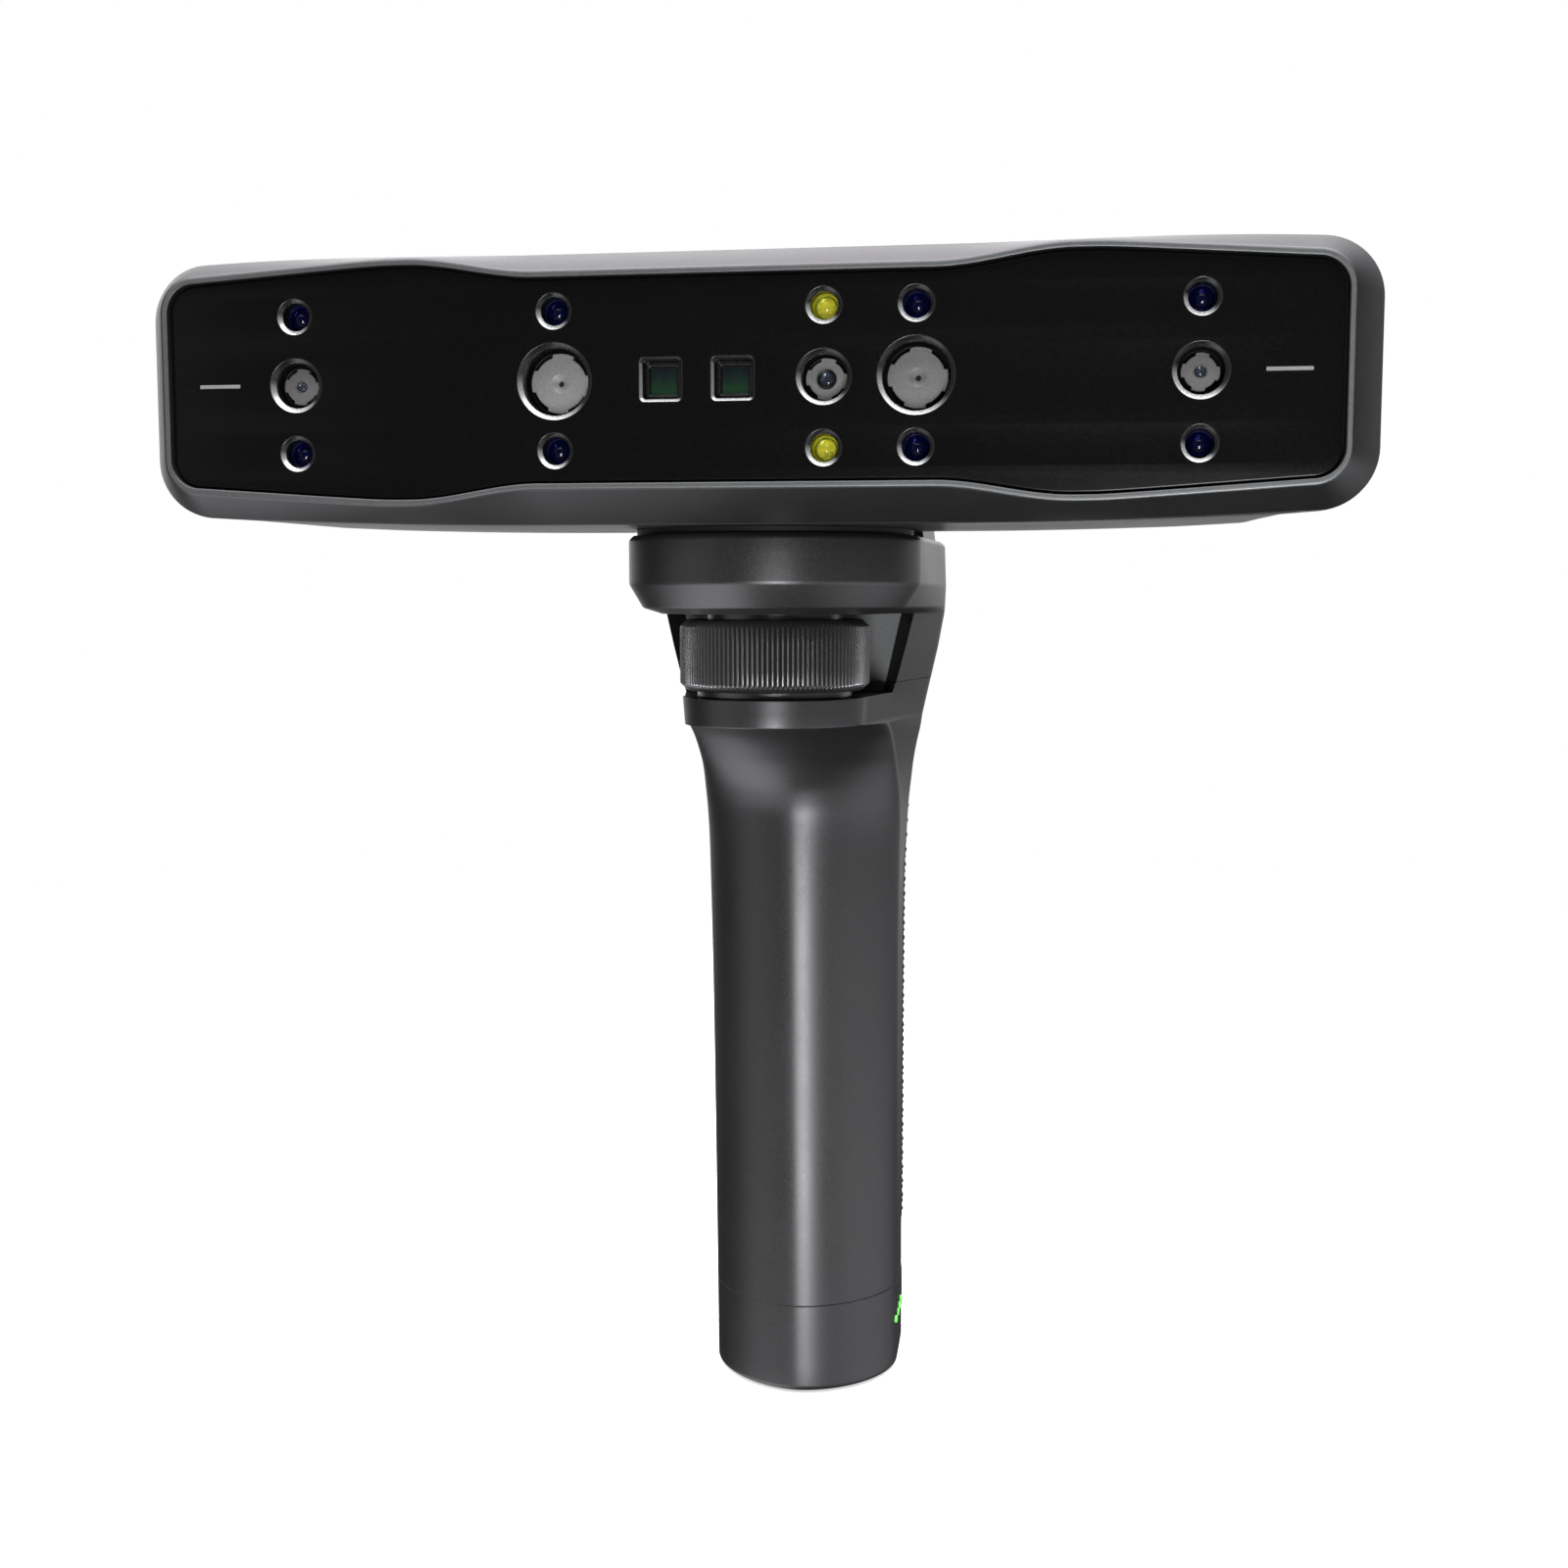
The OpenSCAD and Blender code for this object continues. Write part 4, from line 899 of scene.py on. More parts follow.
# ------------------------------------------------------------------ lamps and windows
# Profiles: radius, y, corner rounding
DOME = [(0.0, 2.12), (0.55, 2.20, 0.25), (1.05, 2.42, 0.3), (1.5, 2.78, 0.3), (1.85, 3.3, 0.3),
        (2.03, 3.9, 0.1), (2.03, 4.0), (0.0, 4.0)]
CUP = [(2.27, 3.0, 0.05), (2.14, 2.94, 0.05), (2.08, 3.6), (2.08, 4.12, 0.03),
       (1.45, 4.16, 0.1), (1.3, 4.3, 0.1), (0.0, 4.3), (0.0, 4.75), (2.27, 4.75)]
YELLOW_PAD = [(0.0, 4.02), (0.7, 4.03, 0.1), (1.0, 4.07, 0.1), (1.15, 4.14, 0.05),
              (1.15, 4.29), (0.0, 4.29)]
BLUE_RING = [(0.98, 4.2, 0.03), (1.1, 4.14, 0.03), (1.22, 4.2, 0.03), (1.22, 4.29, 0.03),
             (0.98, 4.29, 0.03)]
# Window frame: half size, corner radius, y
WINDOW_FRAME = ((3.1, 0.55, 2.4), (3.1, 0.55, 3.5), (2.35, 0.3, 3.5), (2.15, 0.25, 2.75),
                (2.45, 0.3, 2.4))


def blue_die(b, x, z):
    """Square die, a bar beside it and a thin ring."""
    block(b, (x - 0.1, z + 0.05), (0.42, 0.42), 0.06, (4.03, 4.29), edges=(0.04, 0), steps=3)
    block(b, (x + 0.42, z - 0.30), (0.10, 0.55), 0.05, (4.05, 4.29), edges=(0.03, 0), steps=3)
    turn(b, (x, z), BLUE_RING, count=48, loop=True)


def yellow_die(b, x, z):
    """Low domed pad."""
    turn(b, (x, z), YELLOW_PAD, count=48)


def lamps(color, spots, die, dome_mat, cup_mat, die_mat):
    """Domes over reflector cups with a raised lip, and the dies inside."""
    name = color + "_lamp"
    domes, cups, dies = Build(), Build(), Build()
    for x, z in spots:
        turn(domes, (x, z), DOME, count=56)
        turn(cups, (x, z), CUP, count=56, loop=True)
        die(dies, x, z)
    make(name + "_domes", domes, "head", [dome_mat], color + "_led_domes", angle=50)
    make(name + "_cups", cups, "head", [cup_mat], angle=40)
    make(name + "_dies", dies, "head", [die_mat], angle=35)


def laser_windows():
    frames, panes = Build(), Build()
    for x in WINDOW_X:
        rings = square_rings(x, WINDOW_FRAME)
        frames.loft(rounded(rings, [0.1, 0, 0, 0.06, 0.08], 3, loop=True), loop=True)
        block(panes, (x, 0), (2.3, 2.3), 0.28, (2.85, 3.4), edges=(0.08, 0), steps=6)
    make("window_frames", frames, "head", [RECESS], "laser_window_frames",
         angle=35)
    make("window_panes", panes, "head", [WINDOW], "laser_window_glass", angle=35)


# ------------------------------------------------------------------ handle sections
# Each level of the handle: depth, half width and front y of the front curve, y of its
# centre, half width of the rear curve, y of its centre, back y
STATIONS = np.array([
    [24.3, 26.8, 19.2, 46, 28.4, 86, 107], [25.1, 27.6, 18.4, 46, 29.2, 86, 108],
    [33.2, 27.6, 18.4, 46, 29.5, 86, 108.5], [37.6, 25, 21, 46, 29.3, 86.3, 108.6],
    [38.7, 21.5, 24.5, 46, 29.2, 86.5, 108.7], [45.6, 19.8, 26, 45.5, 27.9, 87.5, 109],
    [52.3, 18.2, 27, 45.2, 26.3, 89, 109.4], [54.3, 17.4, 27, 45, 25.8, 89.4, 109.6],
    [59.4, 17.0, 27.1, 45, 24.6, 90.8, 110], [60.2, 20, 46, 62, 24.4, 91, 110.1],
    [62.7, 20.2, 53, 68, 24, 91.5, 110.3], [66, 20.2, 58.5, 73, 23.2, 92.6, 110.6],
    [70, 20.2, 63, 77.5, 22.4, 93.6, 111], [75, 20.3, 65.9, 80.5, 21.7, 95, 111.5],
    [80, 20.2, 67.1, 82, 21, 96.4, 112], [86, 20, 67.4, 82.6, 20.5, 97.6, 112.5],
    [97, 19.8, 67.9, 83.1, 19.9, 99.4, 113.4], [117, 19.6, 68.9, 84.2, 19.7, 100.6, 114.5],
    [184.3, 19.45, 72.3, 87.6, 19.5, 104, 118],
    [ROW_HEIGHT, 19.45, 73.3, 88.6, 19.5, 105, 119],
])
COLLAR = 60.2  # depth of the foot of the collar, where the smooth grip begins
GRIP_STATIONS = STATIONS[STATIONS[:, 0] >= COLLAR]
FRONT_STEPS, REAR_STEPS, FLANK_STEPS = 72, 64, 22
HANDLE_ANGLE = 24
LEAN_COS, LEAN_SIN = math.cos(math.radians(2.92)), math.sin(math.radians(2.92))


def monotone_cubic(xs, ys, x):
    """Monotone cubic through points, which leaves the grip free of creases."""
    width = np.diff(xs)
    slope = np.diff(ys) / width
    tangent = np.zeros(len(xs))
    tangent[0], tangent[-1] = slope[0], slope[-1]
    for i in range(1, len(xs) - 1):
        if slope[i - 1] * slope[i] > 0:
            w1, w2 = 2 * width[i] + width[i - 1], width[i] + 2 * width[i - 1]
            tangent[i] = (w1 + w2) / (w1 / slope[i - 1] + w2 / slope[i])
    k = int(np.clip(np.searchsorted(xs, x) - 1, 0, len(xs) - 2))
    t = (x - xs[k]) / width[k]
    return ((2 * t**3 - 3 * t**2 + 1) * ys[k] + (t**3 - 2 * t**2 + t) * width[k] * tangent[k]
            + (-2 * t**3 + 3 * t**2) * ys[k + 1] + (t**3 - t**2) * width[k] * tangent[k + 1])


def station(depth):
    """A level's six values: straight between stations above the collar's foot, smooth below."""
    table, between = GRIP_STATIONS, monotone_cubic
    if depth <= COLLAR:
        table, between = STATIONS, lambda xs, ys, x: np.interp(x, xs, ys)
    return [between(table[:, 0], table[:, c], depth) for c in range(1, 7)]


def rear_point(half, centre, back, a):
    """Point (x, y) of the rear curve at angle a."""
    return half * math.cos(a), centre + (back - centre) * math.sin(a) ** 0.8


def section(depth, grow=0.0):
    """Closed ring of the handle at a depth, grown outwards by grow."""
    half, front, centre, rear_half, rear_centre, back = station(depth)
    # the grip's front is a little more pointed than an ellipse, and fuller to the rear
    shift = step01((depth - COLLAR) / 26)
    power = 2 / (2 - 0.2 * shift)
    front, back = front - grow, back + grow
    centre += 3.4 * shift
    half += grow + 0.35 * shift
    rear_half += grow + 0.05 * shift
    points = []
    for i in range(FRONT_STEPS + 1):
        a = math.pi * i / FRONT_STEPS
        c = math.cos(a)
        points.append((-half * math.copysign(abs(c) ** power, c),
                       centre - (centre - front) * math.sin(a) ** power, -depth))
    flank = []
    for j in range(1, FLANK_STEPS):
        t = j / FLANK_STEPS
        flank.append((half + (rear_half - half) * t, centre + (rear_centre - centre) * t, -depth))
    points += flank
    for j in range(REAR_STEPS + 1):
        x, y = rear_point(rear_half, rear_centre, back, math.pi * j / REAR_STEPS)
        points.append((x, y, -depth))
    points += [(-x, y, z) for x, y, z in flank[::-1]]
    return np.array(points)


def handle_solid(levels):
    """Solid through sections, from (depth, corner rounding)."""
    b = Build()
    depths, radii = zip(*levels)
    b.loft(rounded([section(d) for d in depths], radii), caps=True)
    return b


# ------------------------------------------------------------------ upper housing
HOUSING_FOOT = 52.3
HOUSING_LEVELS = (
    (24.3, 0), (24.32, 0), (25.1, 0.35), (28.0, 0), (33.2, 0.45), (37.6, 0.35), (38.7, 0.3),
    (42.0, 0), (45.6, 0.5), (49, 0), (52.28, 0.12), (HOUSING_FOOT, 0),
)
# Raised stop behind the head: depth, growth of the section, corner rounding
STOP_LEVELS = ((17.6, -7.6, 0), (17.6, -7.0, 0.4), (18.2, -4.6, 0.9), (19.6, -3, 0.9),
               (21.5, -2.3, 0.9), (24.8, -1.9, 0))
STOP_FRONT = 65.6
OPENING_TOP, OPENING_FOOT = 38.7, 54.3  # depths of the opening round the wheel
WHEEL_AXIS = (0, 45)
PLUG_X, PLUG_Y = 17.5, 84


def stop_tool():
    rings = []
    for depth, grow, _ in STOP_LEVELS:
        ring = section(25.1, grow)
        ring[:, 2] = -depth
        rings.append(ring)
    b = Build()
    b.loft(rounded(rings, [level[2] for level in STOP_LEVELS]), caps=True)
    stop = tool("stop_tool", b)
    face = tool("stop_face", wedge((-24.9, STOP_FRONT, 40, 125, 40), (5, STOP_FRONT, 40, 125, 40)))
    return cut(stop, face, "INTERSECT")


def opening_tool():
    """Opening round the wheel, with a narrower pocket in its rear wall."""
    opening = wedge((-OPENING_FOOT, 5, 45, 61.5, 45), (-OPENING_TOP, 5, 45, 63.3, 45))
    pocket = wedge((-OPENING_FOOT, 61.2, 21.8, 66.05, 18.6), (-OPENING_TOP, 63.0, 25.2, 68, 21.9))
    body = tool("win_a", opening)
    return cut(body, tool("win_b", pocket), "UNION")


def upper_housing():
    """Turret, tapered ring and the two legs beside the wheel."""
    housing = make("upper_housing_body", handle_solid(HOUSING_LEVELS), "handle",
                   [HOUSING, DARK, LIT_WALL], "upper_housing", angle=HANDLE_ANGLE)
    cut(housing, stop_tool(), "UNION", angle=HANDLE_ANGLE)
    cut(housing, opening_tool(), angle=HANDLE_ANGLE)
    # the wheel's bore and seat, and wells for the plugs: axes, radius, z span, count
    wells = [(s * PLUG_X, PLUG_Y) for s in (-1, 1)]
    for name, axes, radius, span, count in (
        ("bore_tool", [WHEEL_AXIS], 3.4, (-50, -20), 64),
        ("seat_tool", [WHEEL_AXIS], 13.2, (-38.9, -37.9), 96),
        ("well_tool", wells, 3.0, (-27.2, -15.2), 48),
    ):
        b = Build()
        for axis in axes:
            turn(b, axis, [(radius, z) for z in span], count=count, axis=Z)
        cut(housing, tool(name, b, DARK), angle=HANDLE_ANGLE)
    # the wall behind the wheel takes a lighter, less metallic copy of the housing: painted light,
    # standing in for the light that falls on it
    for poly in housing.data.polygons:
        y, z = poly.center.y * 1000 + FRONT_Y, poly.center.z * 1000 - ROW_HEIGHT
        if poly.normal.y < -0.7 and 60 < y < 69 and -52.4 < z < -OPENING_TOP:
            poly.material_index = 2


# ------------------------------------------------------------------ grip and battery cap
GRIP_LEVELS = [(52.42, 0), (52.5, 0.2), (54.3, 0), (57, 0), (59.4, 0.35), (COLLAR, 0.5)]
GRIP_LEVELS += [(d, 0) for d in (*np.linspace(61.2, 80, 26), *np.linspace(82, 120, 22),
                                 *np.linspace(124, 184.1, 20)[:-1])]
GRIP_LEVELS += [(184.1, 0.22), (184.15, 0)]
CAP_TOP, CAP_ROUND = 184.3, 1.4
CHARGE_Y = [90 + 4.07 * i for i in range(4)]
CHARGE_Z = -192.6
# Charge lamp: radius, x
CHARGE_PROFILE = [(0.8, 12.0), (0.8, 19.85), (0.74, 19.98), (0.55, 20.05), (0.3, 20.08),
                  (0.02, 20.09)]


def leaning(x, y, z):
    """From the grip's leaning axis, which starts at the floor, to the head's frame."""
    return (x, FRONT_Y + y * LEAN_COS - z * LEAN_SIN, -ROW_HEIGHT + y * LEAN_SIN + z * LEAN_COS)


def bay_tool(name, radius, heights, steps=48):
    """Long hole with round ends, along the grip's axis."""
    rings = []
    for z in heights:
        ring = []
        for centre, start in ((9.35, 0), (-9.35, 180)):
            for j in range(steps + 1):
                a = math.radians(start + 180 * j / steps)
                ring.append(leaning(radius * math.cos(a), centre + radius * math.sin(a), z))
        rings.append(ring)
    b = Build()
    b.loft(rings, caps=True)
    return tool(name, b, DARK)


def grip_shell():
    grip = make("grip_body", handle_solid(GRIP_LEVELS), "handle", [HOUSING, DARK],
                "grip_shell", angle=HANDLE_ANGLE)
    cut(grip, opening_tool(), angle=HANDLE_ANGLE)
    cut(grip, bay_tool("bay_tool", 11.0, (8, 104)), angle=HANDLE_ANGLE)


def charge_build(profile):
    b = Build()
    for y in CHARGE_Y:
        turn(b, (y, CHARGE_Z), profile, count=40, axis=X)
    return b


def battery_cap():
    round_start = ROW_HEIGHT - CAP_ROUND
    rings = [section(d) for d in (CAP_TOP, CAP_TOP + 0.02, 188, 193, 198, round_start)]
    for degrees in range(0, 91, 10):
        c, s = math.cos(math.radians(degrees)), math.sin(math.radians(degrees))
        rings.append(section(round_start + CAP_ROUND * s, -CAP_ROUND * (1 - c)))
    rings = rounded(rings, [0, 0.2] + [0] * (len(rings) - 2))
    rings[0] = section(CAP_TOP, -0.2)
    b = Build()
    b.loft(rings, caps=True)
    cap = make("battery_cap_body", b, "battery_pack", [HOUSING, DARK], "battery_cap",
               angle=HANDLE_ANGLE)
    cut(cap, bay_tool("case_tool", 10.7, (17.4, 30)), angle=HANDLE_ANGLE)
    holes = charge_build([(0.84, 15), (0.84, 24)])
    cut(cap, tool("lamp_tool", holes, DARK), angle=HANDLE_ANGLE)
    make("charge_lamps", charge_build(CHARGE_PROFILE), "battery_pack", [GREEN],
         "charge_lights", angle=50)


# ------------------------------------------------------------------ pads on the grip's rear
PAD_CORNER = 4.0
PAD_BASE = -0.9  # underside, relative to the grip's surface
DOT_PITCH, DOT_ROW = 1.9, 0.866  # spacing, and row spacing as a part of it
RIDGE_PITCH, RIDGE_START, RIDGE_HALF = 1.5, 2.0, 9.5


def rear_patch(top, foot, front_y, rows, columns, height):
    """Pad round the rear of the grip between two depths, bounded in front by a leaning
    plane. height(u, v, edge) is its thickness at u mm round from the middle, v mm down
    from the top and edge mm in from the border."""
    b = Build()
    upper, under = [], []
    for i in range(rows + 1):
        depth = top + (foot - top) * i / rows
        half, centre, back = station(depth)[3:]
        z = 0.5 * (top + foot) - depth
        plane_y = front_y * LEAN_COS - (z - front_y * LEAN_SIN) / LEAN_COS * LEAN_SIN
        reach = max(0.0, min(0.999, (plane_y - centre) / (back - centre)))
        start = math.asin(reach ** 1.25)
        angles = [start + (math.pi - 2 * start) * j / columns for j in range(columns + 1)]
        points = np.array([rear_point(half, centre, back, a) for a in angles])
        steps = np.linalg.norm(np.diff(points, axis=0), axis=1)
        run = np.concatenate([[0], np.cumsum(steps)])
        from_end = min(depth - top, foot - depth)
        line, low = [], []
        for a, (x, y), along in zip(angles, points, run):
            from_side = min(along, run[-1] - along)
            edge = min(from_side, from_end)
            if from_side < PAD_CORNER and from_end < PAD_CORNER:
                edge = PAD_CORNER - math.hypot(PAD_CORNER - from_side, PAD_CORNER - from_end)
            rise = height(along - run[-1] / 2, depth - top, edge)
            nx, ny = (back - centre) * math.cos(a), half * max(math.sin(a), 0.05)
            length = math.hypot(nx, ny)
            nx, ny = nx / length, ny / length
            line.append((x + nx * rise, y + ny * rise, -depth))
            low.append((x + nx * PAD_BASE, y + ny * PAD_BASE, -depth))
        upper.append(b.ring(line))
        under.append(b.ring(low))
    for k in range(rows):
        b.bridge(upper[k], upper[k + 1], closed=False)
        b.bridge(under[k + 1], under[k], closed=False)
    for j in range(columns):
        b.face((upper[0][j + 1], upper[0][j], under[0][j], under[0][j + 1]))
        b.face((upper[-1][j], upper[-1][j + 1], under[-1][j + 1], under[-1][j]))
    for k in range(rows):
        b.face((upper[k][0], upper[k + 1][0], under[k + 1][0], under[k][0]))
        b.face((upper[k + 1][-1], upper[k][-1], under[k][-1], under[k + 1][-1]))
    return b


def shoulder(edge, width, full, low=-0.5):
    """Rounded rise from low at the border to full, width mm in."""
    if edge >= width:
        return full
    t = max(0.0, edge) / width
    return low + (full - low) * math.sqrt(max(0.0, 1 - (1 - t) ** 2))


def dots(u, v, edge):
    """Staggered rows of raised dots."""
    rise = shoulder(edge, width=0.8, full=0.20)
    if edge > 1.6:
        pitch = DOT_PITCH * DOT_ROW
        near = round(v / pitch)
        best = 9.0
        for row in (near - 1, near, near + 1):
            shift = DOT_PITCH / 2 if row % 2 else 0.0
            column = round((u - shift) / DOT_PITCH)
            away = math.hypot(u - shift - column * DOT_PITCH, v - row * pitch)
            best = min(best, away)
        rise += 0.30 * step01((0.66 - best) / 0.42)
    return rise


def ridges(u, v, edge):
    """Ridges running across."""
    rise = shoulder(edge, width=0.7, full=0.18)
    if edge > 1.2 and abs(u) < RIDGE_HALF and RIDGE_START < v < 9.6:
        away = abs(((v - RIDGE_START) % RIDGE_PITCH) - RIDGE_PITCH / 2)
        rise += 0.32 * step01((0.55 - away) / 0.4) * step01((RIDGE_HALF - abs(u)) / 0.8)
    return rise


def rear_pads():
    pad = rear_patch(74.2, 175.8, front_y=101.4, rows=300, columns=150, height=dots)
    make("rear_pad", pad, "handle", [GRIP_RUBBER], "rear_grip_pad", angle=50)
    latch = rear_patch(185.6, 197.0, front_y=105.2, rows=76, columns=96, height=ridges)
    make("battery_latch_key", latch, "latch", [DARK], "battery_latch", angle=50)


# ------------------------------------------------------------------ thumb wheel
WHEEL_RADIUS, WHEEL_BEVEL = 17.9, 1.4
WHEEL_FOOT, WHEEL_TOP = -53.0, -39.7
RIBS, RIB_POINTS, RIB_DEPTH = 120, 10, 0.60
WHEEL_LEVELS = (WHEEL_FOOT, -52.95, -52.75, -52.5, -52.25, -52.0, -51.75, -51.5, -49.0, -46.35,
                -43.7, -41.2, -40.95, -40.7, -40.45, -40.2, -39.95, -39.75, WHEEL_TOP)
# Plain rings below and above the ribbed rim: radius, z
HUB = ((3.0, -54.1), (14.6, -54.1), (14.6, WHEEL_FOOT))
SEAT = ((12.7, WHEEL_TOP), (12.7, -38.15), (3.1, -38.15))


def thumb_wheel():
    """Ribbed wheel with narrow ridges and wide round valleys."""
    count = RIBS * RIB_POINTS
    phases = (np.arange(count) % RIB_POINTS) / RIB_POINTS
    valley = np.array([RIB_DEPTH * (1 - step01((0.5 - abs(p - 0.5)) / 0.36)) for p in phases])

    def ring(radius, z):
        return circle((*WHEEL_AXIS, z), radius, count, axis=Z)

    rim = []
    for z in WHEEL_LEVELS:
        end = min(z - WHEEL_FOOT, WHEEL_TOP - z)
        limit = WHEEL_RADIUS - WHEEL_BEVEL + WHEEL_BEVEL * min(1.0, end / 1.35)
        if end < 0.06:
            limit -= 0.12 - 2 * end
        rim.append(ring(np.minimum(WHEEL_RADIUS - valley, limit), z))
    b = Build()
    b.loft([ring(*p) for p in HUB] + rim + [ring(*p) for p in SEAT], caps=True)
    make("wheel_body", b, "thumbwheel", [WHEEL], "thumb_wheel", angle=34)


# ------------------------------------------------------------------ keypad, port cover, plugs
KEYS = (("scan", 0, 5.2), ("plus", 15, 3.7), ("minus", -15, 3.7))  # name, x, radius
KEY_GAP = 0.12
PAD_FRONT, PAD_BACK = 62.5, 65.4
KEY_FACE = 66.29


def keypad():
    b = Build()
    # half width, half height, corner radius, y
    table = ((KEYPAD_HALF_X - 1, 6.6, 1.4, PAD_FRONT), (KEYPAD_HALF_X, 7.6, 2.3, PAD_FRONT),
             (KEYPAD_HALF_X, 7.6, 2.3, PAD_BACK), (KEYPAD_HALF_X - 1.2, 6.4, 1.3, PAD_BACK))
    rings = [rounded_rect((0, KEYPAD_Z), (half_x, half_z), corner, y)
             for half_x, half_z, corner, y in table]
    ids = b.loft(rounded(rings, [0, 0.1, 0.45, 0])[1:-1])
    holes = []
    for _, x, radius in KEYS:
        profile = [(radius + 0.6, PAD_FRONT), (radius + KEY_GAP, PAD_FRONT, 0.05),
                   (radius + KEY_GAP, PAD_BACK, 0.3), (radius + 0.9, PAD_BACK)]
        holes.append(b.loft(turned_rings((x, KEYPAD_Z), profile, count=72)[1:-1]))
    b.flat(ids[0], [hole[0] for hole in holes])
    b.flat(ids[-1], [hole[-1] for hole in holes])
    make("keypad_plate", b, "head", [KEYPAD], "control_panel", angle=32,
         plane=True)


def legend_bar(b, centre, half):
    block(b, centre, half, 0.2, (KEY_FACE - 0.2, KEY_FACE + 0.10), edges=(0, 0.06), steps=4,
          mat=1)


def key_cap(name, x, radius):
    """Key with a dished face and a raised legend: ring and dot, plus or minus."""
    b = Build()
    centre = (x, KEYPAD_Z)
    profile = [(0.0, 61.1), (radius + 0.9, 61.1, 0.1), (radius + 0.9, 62.3, 0.1),
               (radius, 62.3, 0.1), (radius, 66.1, 0.2), (radius - 0.45, 66.5, 0.3),
               (radius - 1.1, 66.42, 0.3), (radius * 0.45, 66.30, 0.8), (0.0, 66.28)]
    turn(b, centre, profile, count=96)
    if name == "scan":
        ring = [(2.15, KEY_FACE - 0.1), (2.15, KEY_FACE + 0.1, 0.04),
                (2.55, KEY_FACE + 0.12, 0.04), (2.55, KEY_FACE - 0.1)]
        dot = [(0.0, KEY_FACE - 0.2), (0.62, KEY_FACE - 0.2), (0.62, KEY_FACE + 0.07, 0.04),
               (0.0, KEY_FACE + 0.07)]
        turn(b, centre, ring, count=72, mats=1, loop=True)
        turn(b, centre, dot, count=36, mats=1)
    else:
        legend_bar(b, centre, (1.35, 0.24))
        if name == "plus":
            for s in (-1, 1):
                legend_bar(b, (x, KEYPAD_Z + s * 0.81), (0.24, 0.54))
    make(name + "_key_cap", b, name + "_key", [KEY, LEGEND], name + "_button",
         angle=35)


def port_cover():
    """Rubber flap with four ridges, a plug in front, and a hinge web and pin at one side."""
    b = Build()
    block(b, (PORT_X + 0.05, PORT_Z), (6.85, 3.35), 1.1, (60.6, 62.0), edges=(0.1, 0.45))
    for i in range(4):
        block(b, (PORT_X + 4.0 + 0.75 * i, PORT_Z), (0.2, 2.1), 0.18, (61.6, 62.22),
              edges=(0, 0.15), steps=5)
    block(b, (PORT_X, PORT_Z), (3.8, 1.05), 1.0, (59.3, 60.8), edges=(0.25, 0))
    block(b, (PORT_X - 7.1, PORT_Z), (0.55, 3.3), 0.1, (61.05, 61.8), edges=(0, 0.1), steps=3)
    foot, top = PORT_Z - 3.35, PORT_Z + 3.35
    turn(b, (PORT_X - 7.6, 61.4), [(0.0, foot), (0.75, foot, 0.15), (0.75, top, 0.15),
                                   (0.0, top)], count=32, axis=Z)
    make("port_flap_cover", b, "port_flap", [RUBBER], "port_cover", angle=35)


def screw_plugs():
    """Plugs in the wells on top of the turret."""
    b = Build()
    for s in (-1, 1):
        turn(b, (PLUG_X * s, PLUG_Y),
             [(0.0, -24.6), (2.94, -24.6, 0.05), (2.94, -18.4, 0.3), (2.5, -17.95, 0.3),
              (0.7, -17.9, 0.15), (0.0, -18.05)], count=48, axis=Z)
    make("plug_pair", b, "handle", [RUBBER], "screw_plugs", angle=35)


# ------------------------------------------------------------------ nodes that stay as packed
FINISH = {
    "optical_bench": BENCH, "bench_screws": STEEL, "led_boards": BOARD, "laser_modules": BRASS,
    "camera_boards": BOARD, "main_board": BOARD, "heat_sink": BENCH, "fan_frame": DARK,
    "fan_rotor": DARK, "button_board": BOARD, "usb_socket": STEEL, "thread_insert": BRASS,
    "contact_pads": GOLD, "shell_screws": STEEL, "neck_gasket": RUBBER, "contact_block": DARK,
    "spring_contacts": GOLD, "locating_pins": STEEL, "housing_screws": STEEL,
    "wire_harness": WIRE, "bay_contacts": GOLD, "clamp_screw": STEEL, "retaining_clip": STEEL,
    "battery_case": DARK, "battery_cells": CELL, "battery_board": BOARD,
}


def finish_packed():
    for name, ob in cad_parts.items():
        mat = FINISH.get(name)
        if mat is None:
            continue
        if not ob.material_slots:
            ob.data.materials.append(mat)
        for slot in ob.material_slots:
            slot.link = "OBJECT"
            slot.material = mat


# ------------------------------------------------------------------ floor, light and camera
def floor_material():
    """Pale floor that fades out to the white surroundings."""
    mat = bpy.data.materials.new("floor_pale")
    g = Graph(mat)
    output = g.node("OutputMaterial")
    position = g.node("TexCoord").outputs["Object"]
    distance = g.node("VectorMath", position, operation="LENGTH").outputs["Value"]
    mottle = g.ramp(g.noise(position, scale=9, detail=3), over=(0.3, 0.7))
    diffuse = g.node("BsdfDiffuse",
                     Color=g.mix(mottle, (0.80, 0.80, 0.80, 1), (0.82, 0.82, 0.82, 1)))
    glow = g.node("Emission", Color=(1, 1, 1, 1), Strength=0.55)
    lit = g.node("AddShader", diffuse.outputs[0], glow.outputs[0])
    far = g.ramp(distance, over=(0.12, 0.75))
    g.put(output, 0, g.mix_shader(far, lit, g.node("BsdfTransparent")))
    return mat


def studio_floor():
    mesh = bpy.data.meshes.new("floor")
    bm = bmesh.new()
    bmesh.ops.create_circle(bm, cap_ends=True, radius=3.0, segments=96)
    bm.to_mesh(mesh)
    bm.free()
    ob = bpy.data.objects.new("studio_floor", mesh)
    ob.location = (0, 0, -0.0004)
    bpy.context.scene.collection.objects.link(ob)
    mesh.materials.append(floor_material())
    # hidden from all but the camera, so that light from below passes through
    ob.visible_glossy = False
    ob.visible_diffuse = False
    ob.visible_shadow = False
    ob.visible_transmission = False


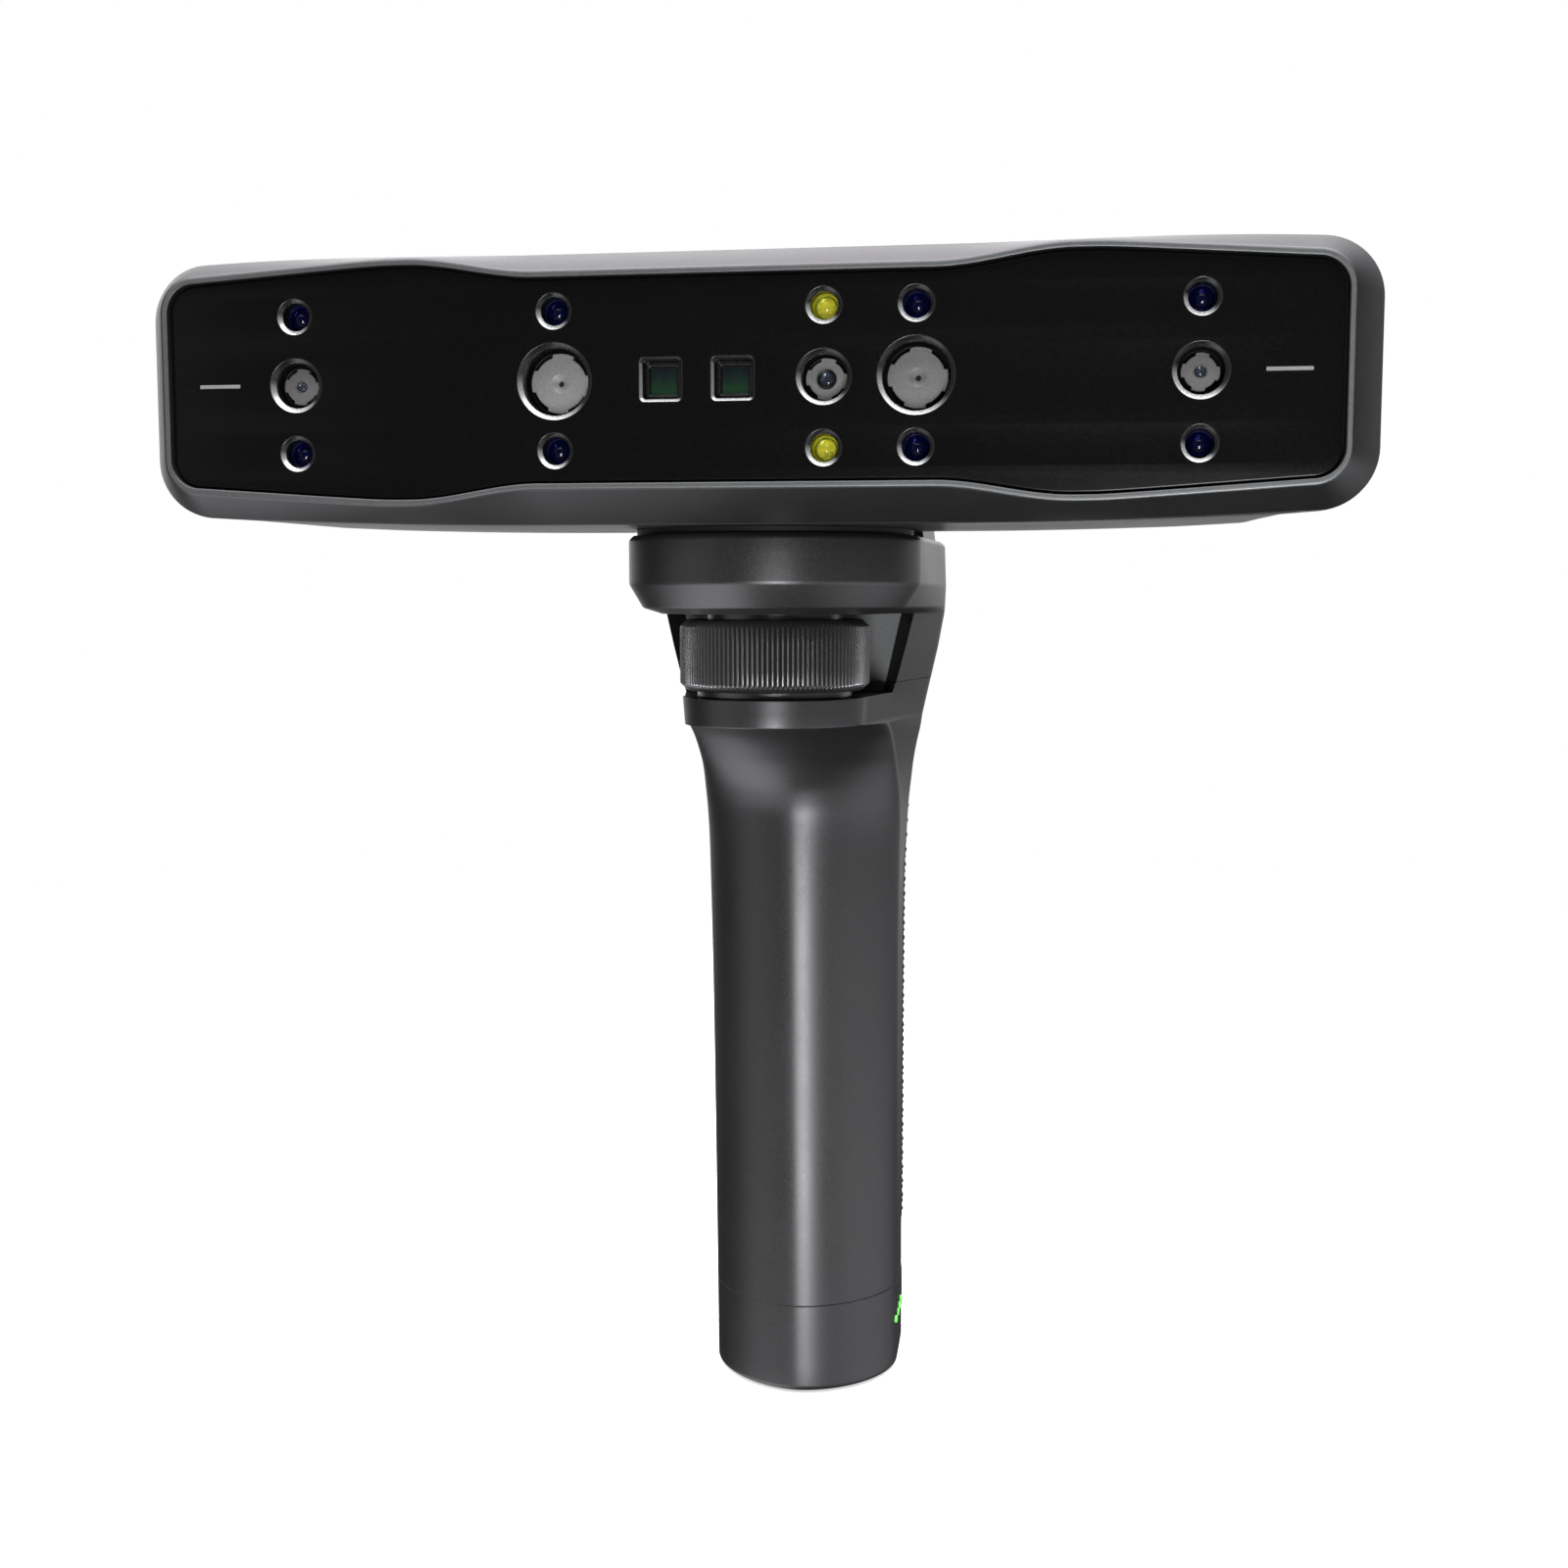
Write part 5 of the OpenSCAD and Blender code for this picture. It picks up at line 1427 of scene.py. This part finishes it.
def studio_world():
    """Bright behind and above, dim in front, and plain white to the camera. Left and
    right are the camera's."""
    world = bpy.data.worlds.new("studio")
    bpy.context.scene.world = world
    g = Graph(world)
    output = g.node("OutputWorld")
    dx, dy, dz = g.node("SeparateXYZ", g.node("TexCoord").outputs["Generated"]).outputs

    def both(a, b):
        return g.math("MULTIPLY", a, b)

    behind = both(g.ramp(dy, over=(0.45, 0.9)), g.ramp(dz, over=(-0.35, 0.15)))
    behind = both(behind, g.ramp(dx, over=(0.5, -0.05), to=(0.5, 1.0)))
    above = g.ramp(dz, over=(0.45, 0.9))
    right_low = both(g.ramp(dx, over=(0.30, 0.90)), g.ramp(dz, over=(0.0, -0.35)))
    left_front = both(g.ramp(dx, over=(-0.35, -0.9)), g.ramp(dy, over=(0.05, -0.3)))
    left_below = both(g.ramp(dx, over=(-0.14, -0.36)), g.ramp(dz, over=(-0.45, -0.75)))
    ambient, behind_gain = 0.045, 3.2
    total = g.math("ADD", ambient, both(behind, behind_gain))
    for lobe, gain in ((above, 4.4), (right_low, 1.0), (left_front, 0.42), (left_below, 2.0)):
        total = g.math("MULTIPLY_ADD", lobe, gain, total)
    painted = g.node("Background", Color=(1, 0.985, 1.0, 1), Strength=total)
    white = g.node("Background", Color=(1, 1, 1, 1), Strength=1.0)
    seen = g.node("LightPath").outputs["Is Camera Ray"]
    g.put(output, 0, g.mix_shader(seen, painted, white))


def area_light(name, location, target, size, energy):
    light = bpy.data.lights.new(name, "AREA")
    light.shape = "RECTANGLE"
    light.size, light.size_y = size
    light.energy = energy
    ob = bpy.data.objects.new(name, light)
    ob.location = location
    aim = Vector(target) - Vector(location)
    ob.rotation_euler = aim.to_track_quat("-Z", "Y").to_euler()
    bpy.context.scene.collection.objects.link(ob)


def camera():
    scene = bpy.context.scene
    cam = bpy.data.cameras.new("camera")
    cam.lens = 43.456
    cam.sensor_width = 36
    cam.clip_start = 0.01
    ob = bpy.data.objects.new("camera", cam)
    ob.location = (0.05503, -0.40456, 0.16774)
    ob.rotation_euler = (math.radians(84.354), 0, math.radians(8.55))
    scene.collection.objects.link(ob)
    scene.camera = ob
    scene.view_settings.view_transform = "Standard"
    scene.view_settings.look = "None"


# ------------------------------------------------------------------ assembly
front_frame()
rear_shell()
port_floor()
front_plate()
front_seal()
index_lines()
for part in (lens_covers, barrels, lens_glass):
    for lens in LENSES:
        part(lens)
lens_stops()
lamps("blue", BLUE_SPOTS, blue_die, BLUE_DOME, BLUE_CUP, BLUE_DIE)
lamps("yellow", YELLOW_SPOTS, yellow_die, YELLOW_DOME, YELLOW_CUP, YELLOW_DIE)
laser_windows()
upper_housing()
grip_shell()
battery_cap()
rear_pads()
thumb_wheel()
keypad()
for key in KEYS:
    key_cap(*key)
port_cover()
screw_plugs()
finish_packed()
studio_floor()
studio_world()
# a narrow strip in front and below, and a wide box overhead
area_light("strip_light", location=(0.22, -1.43, -0.41), target=(0, 0, 0.09),
           size=(0.30, 0.62), energy=11.0)
area_light("overhead_light", location=(0.0, 0.05, 1.5), target=(0, 0, 0.1),
           size=(1.6, 1.2), energy=14.0)
camera()
